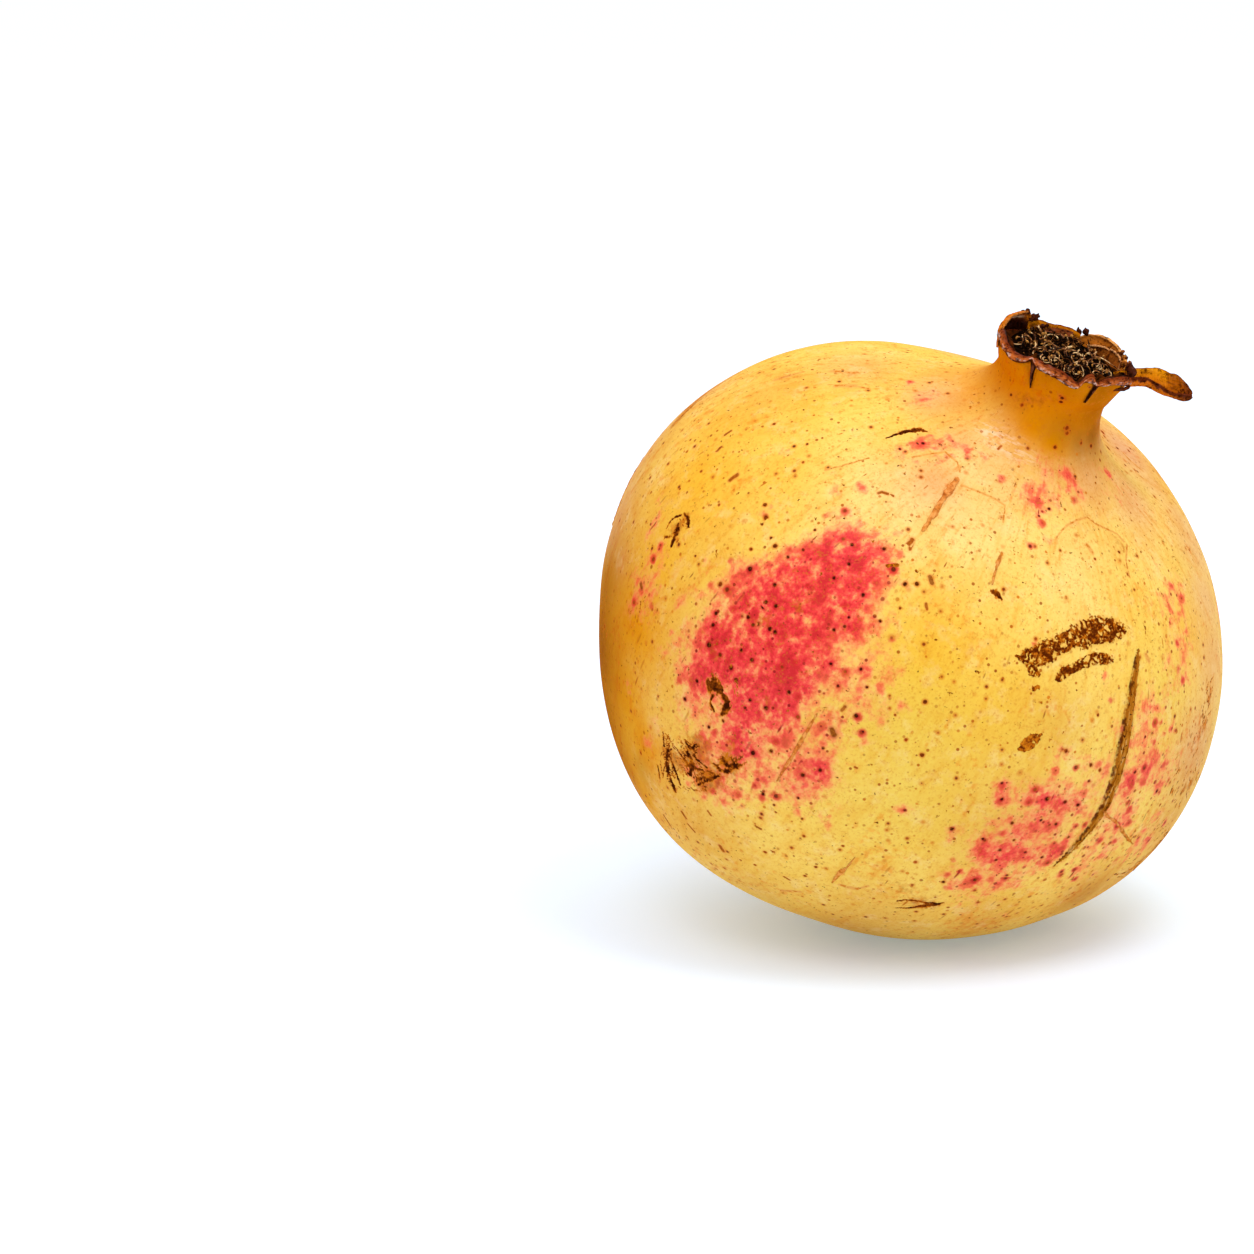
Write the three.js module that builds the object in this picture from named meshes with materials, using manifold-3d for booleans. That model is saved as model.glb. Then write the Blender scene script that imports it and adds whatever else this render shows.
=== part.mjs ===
// A whole pomegranate, as picked, with its dried crown and a clipped stalk. It leans on a small flat spot.
// Millimetres, +Z up. The origin is the middle of the flat spot, +X is to the right and the crown leans to +X and -Y.
import * as THREE from "three";
import { mergeVertices } from "three/addons/utils/BufferGeometryUtils.js";
import Module from "manifold-3d";

const wasm = await Module();
wasm.setup();

// Driving dimensions of the body
const EQUATOR_R = 48.5; // across the crown axis
const POLE_R = 43; // along the crown axis
const FULLNESS = 2.2; // 2 would be a plain ellipse
const BODY_CENTRE = new THREE.Vector3(-6, 2.2, 45);
const CROWN_TILT = 33.5; // degrees from upright
const CROWN_HEADING = -38; // degrees from +X towards +Y
const RIB_COUNT = 6;
const RIB_RISE = 0.35;
const BODY_ROWS = 28;
const AROUND = 64;

// Places where the rind is fuller or flatter than the round form: spread is in degrees, rise in millimetres
const SWELLS = [
  { towards: [-0.77, -0.13, -0.63], spread: 26, rise: 0.8 }, // lower left cheek
  { towards: [-1, 0, 0.03], spread: 24, rise: -2.7 }, // flat left side
  { towards: [0.03, -0.21, -0.98], spread: 30, rise: -0.8 }, // underside
  { towards: [0.02, 0.04, -1], spread: 14, rise: 0.6 }, // where it stands
  { towards: [0.79, -0.13, -0.6], spread: 28, rise: 3.2 }, // full lower right
  { towards: [-0.71, 0.15, 0.69], spread: 30, rise: -0.6 }, // upper left shoulder
  { towards: [-0.09, 0.21, 0.97], spread: 26, rise: -1.3 }, // flat top beside the neck
  { towards: [0.97, 0.05, 0.25], spread: 26, rise: 0.5 }, // right side
  { towards: [0.2, 0.22, 0.95], spread: 15, rise: -1.2 }, // flat behind the neck
  { towards: [0.83, 0.17, 0.53], spread: 16, rise: 0.7 }, // right shoulder
  { towards: [0.68, -0.19, 0.71], spread: 12, rise: -1.6 }, // hollow under the right of the neck
];

// The neck, which is the calyx tube, and its cup
const NECK_FOOT_R = 21;
const NECK_WAIST_R = 8.7;
const RIM_R = 9.7;
const RIM_HEIGHT = 11.4; // from the body's pole to the top of the wall
const WAIST_HEIGHT = 7.4;
const NECK_SHIFT = -1.1; // how far the rim's middle stands off the crown axis
const RIM_TILT = 22;
const RIM_HEADING = -31;
const WALL = 1.6;
const CUP_DEPTH = 10.5;
const CUP_FLOOR_R = 6;
const GAP = 0.3; // between pieces that touch

// The crown: where each lobe of the calyx starts and ends round the rim, in degrees, anticlockwise from +X
const LIP_THICK = 1.2;
const LIP_HEIGHT = 1.5;
const LOBE_THICK = 0.8;
const LOBE_EDGES = [-15, 25, 75, 122, 184, 243, 299];
const CREASE_DEPTH = 0.5; // of the groove below each corner between two lobes
const CREASE_WIDTH = 9; // degrees round the neck

// The dried stamens
const STAMEN_COUNT = 46;
const FILAMENT_R = 0.34;
const ANTHER_R = 0.62;
const STAMEN_SEED = 7;
const STAMEN_ROOT = -2.1; // below the top of the neck's wall

// The clipped stalk
const STALK_R = 2.5;
const STALK_LENGTH = 5;
const STALK_DIMPLE = 2.6;
const STALK_DIMPLE_R = 7;

const radians = THREE.MathUtils.degToRad;
const smooth = THREE.MathUtils.smoothstep;

// A repeatable run of numbers from 0 to 1.
function drawFrom(seed) {
  let state = seed;
  return () => {
    state = (state * 1664525 + 1013904223) % 4294967296;
    return state / 4294967296;
  };
}

// The direction that leans away from +Z by tilt, towards heading.
function leaning(tilt, heading) {
  const t = radians(tilt);
  const h = radians(heading);
  return new THREE.Vector3(Math.sin(t) * Math.cos(h), Math.sin(t) * Math.sin(h), Math.cos(t));
}

const crownAxis = leaning(CROWN_TILT, CROWN_HEADING);
const rimAxis = leaning(RIM_TILT, RIM_HEADING);
const bendAngle = crownAxis.angleTo(rimAxis);
const bendAxis = crownAxis.clone().cross(rimAxis).normalize();

// A frame whose Y axis is the given one and whose X axis lies nearest to the part's +X.
function frameAbout(axis, origin) {
  const x = new THREE.Vector3(1, 0, 0).addScaledVector(axis, -axis.x).normalize();
  const z = x.clone().cross(axis);
  return new THREE.Matrix4().makeBasis(x, axis, z).setPosition(origin);
}

const bodyTurn = frameAbout(crownAxis, new THREE.Vector3());
const neckSide = new THREE.Vector3().setFromMatrixColumn(bodyTurn, 0);

// The body's half outline: its radius at an angle from the crown axis.
function outlineRadius(angle) {
  const across = Math.pow(Math.sin(angle) / EQUATOR_R, FULLNESS);
  const along = Math.pow(Math.abs(Math.cos(angle)) / POLE_R, FULLNESS);
  return Math.pow(across + along, -1 / FULLNESS);
}

const footAngle = Math.asin(NECK_FOOT_R / (POLE_R + 1));
const footHeight = outlineRadius(footAngle) * Math.cos(footAngle);
const rimHeight = POLE_R + RIM_HEIGHT;
const neckLength = rimHeight - footHeight;

// How far the rind stands out from the round form in a direction of the part's frame.
function swellTowards(direction, aboutAxis) {
  const ribs = RIB_RISE * Math.cos(RIB_COUNT * aboutAxis.turn + 0.5) * aboutAxis.away ** 2;
  return SWELLS.reduce((sum, s) => {
    const c = direction.dot(new THREE.Vector3(...s.towards).normalize());
    return sum + s.rise * Math.exp(-(1 - c) / (1 - Math.cos(radians(s.spread))));
  }, ribs);
}

const poleSwell = swellTowards(crownAxis, { turn: 0, away: 0 });

// Moves a point that stands at a height on the crown axis along with the neck, which turns and shifts
// from its foot to its rim.
function bendNeck(sideways, height) {
  const along = Math.max(0, height - footHeight) / neckLength;
  const turned = sideways.clone().applyAxisAngle(bendAxis, bendAngle * along ** 1.5);
  const shift = neckSide.clone().multiplyScalar(NECK_SHIFT * along ** 2);
  return turned.add(shift).addScaledVector(crownAxis, height);
}

// How far a point of the lathed form is pushed out from the body's middle. The rim is only carried along.
function swellOf(p) {
  const flat = Math.hypot(p.x, p.z);
  const about = { turn: Math.atan2(-p.z, p.x), away: flat / Math.max(p.length(), 1) };
  const own = swellTowards(p.clone().normalize().applyMatrix4(bodyTurn), about);
  return THREE.MathUtils.lerp(own, poleSwell, smooth(p.y, footHeight, rimHeight - 3));
}

// Moves a point of the lathed form, whose axis is Y, to its place on the fruit.
function placeOnFruit(p) {
  const grown = 1 + swellOf(p) / outlineRadius(Math.atan2(Math.hypot(p.x, p.z), p.y));
  const sideways = new THREE.Vector3(p.x, 0, p.z).multiplyScalar(grown).applyMatrix4(bodyTurn);
  const placed = bendNeck(sideways, p.y * grown).add(BODY_CENTRE);
  placed.z = Math.max(placed.z, 0);
  return placed;
}

// Moves every corner of a geometry by a rule.
function moveCorners(geometry, rule) {
  const position = geometry.attributes.position;
  const p = new THREE.Vector3();
  for (let i = 0; i < position.count; i++) {
    const moved = rule(p.fromBufferAttribute(position, i).clone());
    position.setXYZ(i, moved.x, moved.y, moved.z);
  }
  return geometry;
}

// Joins a geometry's shared corners, drops faces with no area and moves every corner by a rule.
function reshape(geometry, rule) {
  geometry.deleteAttribute("normal");
  geometry.deleteAttribute("uv");
  const merged = mergeVertices(geometry, 1e-4);
  const faces = [];
  for (let i = 0; i < merged.index.count; i += 3) {
    const [a, b, c] = [0, 1, 2].map((k) => merged.index.getX(i + k));
    if (a !== b && b !== c && c !== a) faces.push(a, b, c);
  }
  merged.setIndex(faces);
  return moveCorners(merged, rule);
}

function toSolid(geometry) {
  const indexed = geometry.index ? geometry : reshape(geometry, (p) => p);
  return new wasm.Manifold(
    new wasm.Mesh({
      numProp: 3,
      vertProperties: new Float32Array(indexed.attributes.position.array),
      triVerts: new Uint32Array(indexed.index.array),
    }),
  );
}

function toGeometry(solid) {
  const mesh = solid.getMesh();
  const geometry = new THREE.BufferGeometry();
  geometry.setAttribute("position", new THREE.BufferAttribute(mesh.vertProperties, 3));
  geometry.setIndex(new THREE.BufferAttribute(mesh.triVerts, 1));
  return geometry;
}

// The lathed outline from the stalk's dimple over the body and the neck's foot to the rim, then down the cup.
function fruitProfile() {
  const points = [];
  for (let i = 0; i <= BODY_ROWS; i++) {
    const angle = Math.PI + ((footAngle - Math.PI) * i) / BODY_ROWS;
    const radius = outlineRadius(angle);
    const across = i === 0 ? 0 : radius * Math.sin(angle);
    const dimple = angle > Math.PI / 2 ? STALK_DIMPLE * Math.exp(-((across / STALK_DIMPLE_R) ** 2)) : 0;
    points.push(new THREE.Vector2(across, radius * Math.cos(angle) + dimple));
  }
  const foot = points[points.length - 1];
  const before = points[points.length - 2];
  const run = foot.clone().sub(before).normalize();
  const waistY = POLE_R + WAIST_HEIGHT;
  const flare = new THREE.CubicBezierCurve(
    foot,
    foot.clone().addScaledVector(run, 8.5),
    new THREE.Vector2(NECK_WAIST_R, waistY - 5.5),
    new THREE.Vector2(NECK_WAIST_R, waistY),
  );
  points.push(...flare.getPoints(8).slice(1));
  const inner = RIM_R - WALL;
  const wall = new THREE.SplineCurve([
    new THREE.Vector2(NECK_WAIST_R, waistY),
    new THREE.Vector2(RIM_R - 0.35, rimHeight - 2.6),
    new THREE.Vector2(RIM_R, rimHeight - 0.4),
  ]);
  points.push(...wall.getPoints(4).slice(1));
  points.push(
    new THREE.Vector2(RIM_R - 0.4, rimHeight),
    new THREE.Vector2(inner + 0.3, rimHeight),
    new THREE.Vector2(inner, rimHeight - 0.4),
  );
  const cup = new THREE.SplineCurve([
    new THREE.Vector2(inner, rimHeight - 0.4),
    new THREE.Vector2(inner - 0.3, rimHeight - 5),
    new THREE.Vector2(inner - 0.7, rimHeight - CUP_DEPTH + 1.2),
    new THREE.Vector2(CUP_FLOOR_R, rimHeight - CUP_DEPTH),
  ]);
  points.push(...cup.getPoints(3).slice(1), new THREE.Vector2(0, rimHeight - CUP_DEPTH - 0.5));
  return points;
}

// The neck is pinched into a groove below each corner between two lobes.
function pinch(p) {
  const degrees = THREE.MathUtils.radToDeg(Math.atan2(-p.z, p.x));
  const grooves = LOBE_EDGES.reduce((sum, edge) => {
    const off = THREE.MathUtils.euclideanModulo(degrees - edge + 180, 360) - 180;
    return sum + Math.exp(-((off / CREASE_WIDTH) ** 2));
  }, 0);
  const radius = Math.hypot(p.x, p.z);
  const depth = CREASE_DEPTH * smooth(p.y, POLE_R + 4, rimHeight) * smooth(radius, RIM_R - WALL, RIM_R - 0.4);
  const scale = 1 - (depth * grooves) / Math.max(radius, 1);
  return new THREE.Vector3(p.x * scale, p.y, p.z * scale);
}

function makeFruit() {
  return reshape(new THREE.LatheGeometry(fruitProfile(), AROUND), (p) => placeOnFruit(pinch(p)));
}

// The rim's own frame: X to the part's right, Y out of the cup, at the top of the wall.
const rimCentre = placeOnFruit(new THREE.Vector3(0, rimHeight, 0));
const rimFrame = frameAbout(rimAxis, rimCentre);
const inRim = (radius, height, turn) =>
  new THREE.Vector3(radius * Math.cos(turn), height, -radius * Math.sin(turn));

// How far along its own lobe an angle round the rim is: 0 and 1 are the corners.
function alongLobe(turn) {
  const degrees = THREE.MathUtils.radToDeg(turn);
  const from = THREE.MathUtils.euclideanModulo(degrees - LOBE_EDGES[0], 360) + LOBE_EDGES[0];
  const k = LOBE_EDGES.findLastIndex((edge) => edge <= from);
  const next = k + 1 < LOBE_EDGES.length ? LOBE_EDGES[k + 1] : LOBE_EDGES[0] + 360;
  return (from - LOBE_EDGES[k]) / (next - LOBE_EDGES[k]);
}

// The thick dry lip that the broken lobes leave, rolled out between the corners and pinched at them.
function makeLip() {
  const section = new THREE.SplineCurve([
    new THREE.Vector2(RIM_R - WALL, GAP),
    new THREE.Vector2(RIM_R + 0.1, GAP),
    new THREE.Vector2(RIM_R + 0.5, GAP + LIP_HEIGHT * 0.45),
    new THREE.Vector2(RIM_R + 0.2, GAP + LIP_HEIGHT),
    new THREE.Vector2(RIM_R + 0.2 - LIP_THICK, GAP + LIP_HEIGHT),
    new THREE.Vector2(RIM_R - WALL - 0.1, GAP + LIP_HEIGHT * 0.5),
    new THREE.Vector2(RIM_R - WALL, GAP),
  ]);
  const ring = new THREE.LatheGeometry(section.getPoints(9), AROUND);
  return reshape(ring, (p) => {
    const radius = Math.hypot(p.x, p.z);
    const turn = Math.atan2(-p.z, p.x);
    const bulge = Math.sin(Math.PI * alongLobe(turn));
    const lift = smooth(p.y, GAP, GAP + LIP_HEIGHT);
    return inRim(radius + (0.55 * bulge - 0.35) * lift, p.y + (0.5 * bulge - 0.45) * lift, turn);
  });
}

// A lobe is a thin blade: its middle line is a curve in the upright plane at one angle round the rim, given as
// distances out from the rim's middle and up from its top, and its two sides follow widths along that line.
function makeLobe({ turn, line, widths, cup, twist = [0, 0], across = 6, along = 12 }) {
  const middle = new THREE.SplineCurve(line.map(([out, up]) => new THREE.Vector2(out, up)));
  const halfWidth = new THREE.SplineCurve(widths.map(([at, half]) => new THREE.Vector2(at, half)));
  const blade = new THREE.BoxGeometry(2, 1, 1, across, along, 1);
  return reshape(blade, (p) => {
    const at = p.y + 0.5;
    const c = middle.getPointAt(at);
    const tangent = middle.getTangentAt(at);
    const side = p.x * halfWidth.getPoint(at).y;
    const lift = cup * side * side + LOBE_THICK * p.z;
    const angle = radians(turn);
    const spin = radians(THREE.MathUtils.lerp(twist[0], twist[1], at));
    const inward = new THREE.Vector2(-tangent.y, tangent.x);
    const radius = c.x + inward.x * (lift * Math.cos(spin) + side * Math.sin(spin));
    const height = c.y + inward.y * (lift * Math.cos(spin) + side * Math.sin(spin));
    const point = inRim(radius, height, angle);
    const sideways = new THREE.Vector3(Math.sin(angle), 0, Math.cos(angle));
    return point.addScaledVector(sideways, side * Math.cos(spin) - lift * Math.sin(spin));
  });
}

// The lobes that are still there: the rest have broken off down to the lip.
const LOBES = {
  hood: {
    turn: 153,
    line: [[9.2, 0.6], [9.8, 1.7], [9.4, 2.9], [7.9, 3.7]],
    widths: [[0, 4.7], [0.35, 4.5], [0.7, 3.2], [1, 1]],
    cup: 0.09,
  },
  strap: {
    turn: 1,
    line: [[9.1, 0.7], [10.8, 1.1], [13.6, 1.3], [16.8, 1.2], [19.6, 0.3]],
    widths: [[0, 2.4], [0.3, 1.5], [0.7, 1.6], [0.9, 1.4], [1, 0.7]],
    cup: 0.16,
    twist: [-15, -45],
    along: 16,
  },
  arch: {
    turn: 50,
    line: [[9.2, 0.6], [9.7, 1.4], [9.2, 2.2], [7.9, 2.6]],
    widths: [[0, 4], [0.5, 3.8], [1, 2.2]],
    cup: 0.07,
  },
  curl: {
    turn: -40,
    line: [[9, 0.8], [9.9, 1.3], [10.7, 0.7], [10.8, -0.5]],
    widths: [[0, 2.4], [0.5, 2.2], [1, 1.3]],
    cup: 0.08,
  },
  fold: {
    turn: 100,
    line: [[9.3, 0.6], [9.4, 1.4], [8.3, 1.9], [5.8, 1.6]],
    widths: [[0, 3.8], [0.5, 3.9], [1, 3]],
    cup: 0.03,
  },
};

function makeCrown() {
  const pieces = Object.values(LOBES).map(makeLobe);
  const whole = pieces.reduce((sum, piece) => sum.add(toSolid(piece)), toSolid(makeLip()));
  return toGeometry(whole).applyMatrix4(rimFrame);
}

// The matted foot of the stamens fills the cup, and domes up a little in the middle.
function makeMat() {
  const inner = RIM_R - WALL - GAP;
  const outline = new THREE.SplineCurve([
    new THREE.Vector2(0, GAP - CUP_DEPTH),
    new THREE.Vector2(CUP_FLOOR_R - 1.2, GAP - CUP_DEPTH + 0.4),
    new THREE.Vector2(inner - 1.2, -CUP_DEPTH + 2.4),
    new THREE.Vector2(inner - 0.5, -4),
    new THREE.Vector2(inner - 0.35, -2),
    new THREE.Vector2(inner - 2.2, -0.9),
    new THREE.Vector2(0, -0.2),
  ]).getPoints(9);
  outline[0].x = 0;
  outline[outline.length - 1].x = 0;
  return reshape(new THREE.LatheGeometry(outline, 18), (p) => {
    const lump = smooth(p.y, -3.5, -1.5) * 0.35 * Math.sin(1.4 * p.x + 0.8) * Math.cos(1.7 * p.z);
    return p.clone().setY(p.y + lump);
  });
}

// One stamen: a thread that rises out of the mat and curls over, with its anther at the end.
function makeStamen(draw) {
  const turn = 2 * Math.PI * draw();
  const radius = 6.3 * Math.sqrt(draw());
  const heading = 2 * Math.PI * draw();
  const reach = 0.7 + 0.6 * draw();
  const rise = 1.5 + 1.2 * draw();
  const root = inRim(radius, STAMEN_ROOT, turn);
  const leanBack = new THREE.Vector3(-root.x, 0, -root.z).multiplyScalar(0.06 * radius / 6.3);
  const bow = new THREE.Vector3(Math.cos(heading), 0, Math.sin(heading));
  const path = new THREE.CatmullRomCurve3([
    root,
    root.clone().addScaledVector(bow, -0.15 * reach).setY(STAMEN_ROOT + 0.7 * rise),
    root.clone().addScaledVector(bow, 0.45 * reach).add(leanBack).setY(STAMEN_ROOT + 1.25 * rise),
    root.clone().addScaledVector(bow, 1.25 * reach).add(leanBack).setY(STAMEN_ROOT + 0.95 * rise),
  ]);
  const section = new THREE.Shape();
  for (let i = 0; i < 3; i++) {
    const angle = (2 * Math.PI * i) / 3;
    const [x, y] = [FILAMENT_R * Math.cos(angle), FILAMENT_R * Math.sin(angle)];
    if (i === 0) section.moveTo(x, y);
    else section.lineTo(x, y);
  }
  const thread = new THREE.ExtrudeGeometry(section, { steps: 5, extrudePath: path });
  const anther = new THREE.OctahedronGeometry(ANTHER_R)
    .scale(1.2, 0.75, 0.8)
    .rotateY(heading)
    .translate(...path.getPoint(1).toArray());
  return toSolid(reshape(thread, (p) => p)).add(toSolid(reshape(anther, (p) => p)));
}

function makeStamens() {
  const draw = drawFrom(STAMEN_SEED);
  let whole = toSolid(makeMat());
  for (let i = 0; i < STAMEN_COUNT; i++) whole = whole.add(makeStamen(draw));
  return moveCorners(toGeometry(whole), (p) => placeOnFruit(p.setY(p.y + rimHeight)));
}

// The stalk's stub, cut across a little off square, in the dimple at the other pole.
function makeStalk() {
  const seat = placeOnFruit(new THREE.Vector3(0, STALK_DIMPLE - POLE_R, 0));
  const down = crownAxis.clone().negate();
  const stub = new THREE.CylinderGeometry(STALK_R, STALK_R * 0.86, STALK_LENGTH, 14, 4);
  return reshape(stub, (p) => {
    const up = p.y / STALK_LENGTH + 0.5;
    const knot = 1 + 0.06 * Math.sin(3 * Math.atan2(p.z, p.x)) + 0.12 * up * up;
    return new THREE.Vector3(p.x * knot, p.y + 2 * GAP + STALK_LENGTH / 2 + 0.12 * p.x * up, p.z * knot);
  }).applyMatrix4(frameAbout(down, seat));
}

function named(name, geometry, colour, roughness) {
  const material = new THREE.MeshStandardMaterial({ color: colour, roughness, metalness: 0 });
  const mesh = new THREE.Mesh(geometry, material);
  mesh.name = name;
  return mesh;
}

const pomegranate = new THREE.Group();
pomegranate.add(
  named("fruit", makeFruit(), 0xe8b24a, 0.42),
  named("crown_lobes", makeCrown(), 0x8a4a22, 0.6),
  named("stamens", makeStamens(), 0x3a2415, 0.8),
  named("stalk_stub", makeStalk(), 0x6b5236, 0.8),
);

export default pomegranate;
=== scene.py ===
import math
import random

import bpy
import numpy as np
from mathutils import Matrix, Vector, noise
from mathutils.bvhtree import BVHTree


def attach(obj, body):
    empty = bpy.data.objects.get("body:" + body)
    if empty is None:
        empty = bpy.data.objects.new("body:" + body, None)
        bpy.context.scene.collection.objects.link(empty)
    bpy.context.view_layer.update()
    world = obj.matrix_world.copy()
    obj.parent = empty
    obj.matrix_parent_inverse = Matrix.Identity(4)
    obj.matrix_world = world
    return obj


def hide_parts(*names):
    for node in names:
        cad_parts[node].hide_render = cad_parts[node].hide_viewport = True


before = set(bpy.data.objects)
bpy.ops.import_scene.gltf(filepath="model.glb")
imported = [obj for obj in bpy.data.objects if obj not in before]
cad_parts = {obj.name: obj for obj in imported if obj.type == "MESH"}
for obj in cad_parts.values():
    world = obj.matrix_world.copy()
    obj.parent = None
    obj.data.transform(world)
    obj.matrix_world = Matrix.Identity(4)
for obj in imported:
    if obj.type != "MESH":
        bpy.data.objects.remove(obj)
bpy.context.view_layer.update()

MM = 0.001

# Where the photograph was taken from, in millimetres and degrees
PHOTO_SIDE = 1254  # pixels
PIXEL = 0.1536  # millimetres that one pixel covers at the body's middle
BODY_MIDDLE = np.array([-6.0, 2.2, 45.0])
BODY_PIXEL = (898, 634)
CAMERA_AWAY = 700.0
CAMERA_RISE = math.radians(12)
SENSOR = 36.0
CAMERA_BACK = np.array([0, -math.cos(CAMERA_RISE), math.sin(CAMERA_RISE)])
CAMERA_UP = np.array([0, math.sin(CAMERA_RISE), math.cos(CAMERA_RISE)])
CAMERA_RIGHT = np.array([1.0, 0, 0])

# The crown's own frame: its middle at the top of the neck's wall, then its ways right, up and to the front
RIM_MIDDLE = np.array([16.58, -16.36, 90.54])
RIM_ACROSS = np.array([0.947, 0.0654, -0.3144])
RIM_UP = np.array([0.3211, -0.1929, 0.9272])
RIM_FRONT = np.array([0, -0.979, -0.2037])
CROWN_AXIS = np.array([0.4349, -0.3398, 0.8339])
RIM_RADIUS = 9.7


def camera_place():
    """Where the camera stands, so that the body's middle falls on its pixel."""
    across = (BODY_PIXEL[0] - PHOTO_SIDE / 2) * PIXEL
    below = (BODY_PIXEL[1] - PHOTO_SIDE / 2) * PIXEL
    return BODY_MIDDLE + CAMERA_BACK * CAMERA_AWAY - CAMERA_RIGHT * across + CAMERA_UP * below


def sight_line(x, y):
    """The direction from the camera through a pixel of the photograph."""
    across = (x - PHOTO_SIDE / 2) * PIXEL
    below = (y - PHOTO_SIDE / 2) * PIXEL
    line = CAMERA_RIGHT * across - CAMERA_UP * below - CAMERA_BACK * CAMERA_AWAY
    return line / np.linalg.norm(line)


# Working with meshes


def activate(piece):
    """Makes one piece the only one selected and the active one."""
    bpy.ops.object.select_all(action="DESELECT")
    piece.select_set(True)
    bpy.context.view_layer.objects.active = piece


def new_piece(name, mesh):
    """Puts a mesh into the scene as a piece at the origin."""
    piece = bpy.data.objects.new(name, mesh)
    bpy.context.scene.collection.objects.link(piece)
    activate(piece)
    return piece


def copy_node(node, name):
    """A copy of one CAD node, with its loose triangles joined."""
    piece = new_piece(name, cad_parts[node].data.copy())
    piece.data.materials.clear()
    bpy.ops.object.mode_set(mode="EDIT")
    bpy.ops.mesh.select_all(action="SELECT")
    bpy.ops.mesh.remove_doubles(threshold=1e-6)
    bpy.ops.object.mode_set(mode="OBJECT")
    return piece


def finish_with(piece, kind, **settings):
    """Adds a modifier to a piece and applies it."""
    activate(piece)
    modifier = piece.modifiers.new(kind.title(), kind)
    for key, value in settings.items():
        setattr(modifier, key, value)
    bpy.ops.object.modifier_apply(modifier=modifier.name)


def add_primitive(add, name, **settings):
    """Adds one of Blender's primitives and names it."""
    add(**settings)
    piece = bpy.context.view_layer.objects.active
    piece.name = name
    return piece


def vectors_of(parts, name):
    """One vector for each of a mesh's corners or faces."""
    flat = np.empty(len(parts) * 3)
    parts.foreach_get(name, flat)
    return flat.reshape(-1, 3)


def own_places(piece):
    """A mesh's corners, in Blender's own units."""
    return vectors_of(piece.data.vertices, "co")


def places_of(piece):
    """A mesh's corners, in millimetres."""
    return own_places(piece) / MM


def move_to(piece, places):
    """Puts a mesh's corners where they are told to be, in millimetres."""
    piece.data.vertices.foreach_set("co", (places * MM).ravel())
    piece.data.update()


def normals_of(piece):
    """The direction that each corner of a mesh faces."""
    return vectors_of(piece.data.vertex_normals, "vector")


def face_middles(piece):
    """The middles of a mesh's faces, in millimetres."""
    return vectors_of(piece.data.polygons, "center") / MM


def note(piece, name, values, domain="POINT"):
    """Writes one number, or one vector, for each corner or face of a piece, for its finish to read."""
    values = np.asarray(values, dtype=np.float32)
    vector = values.ndim == 2
    layer = piece.data.attributes.new(name, "FLOAT_VECTOR" if vector else "FLOAT", domain)
    layer.data.foreach_set("vector" if vector else "value", values.ravel())


def lumps_at(places, size):
    """Soft noise between about -1 and 1 at each place, with lumps of a size in millimetres."""
    return np.array([noise.noise(Vector(p) / size) for p in places])


def step(value, low, high):
    """0 at low, 1 at high, smooth between them."""
    t = np.clip((np.asarray(value) - low) / (high - low), 0, 1)
    return t * t * (3 - 2 * t)


# Finishes


def colour(red, green, blue):
    """A colour in screen values from 0 to 255, as the shader takes it."""
    def linear(value):
        value /= 255
        return value / 12.92 if value <= 0.04045 else ((value + 0.055) / 1.055) ** 2.4
    return (linear(red), linear(green), linear(blue), 1.0)


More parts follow.
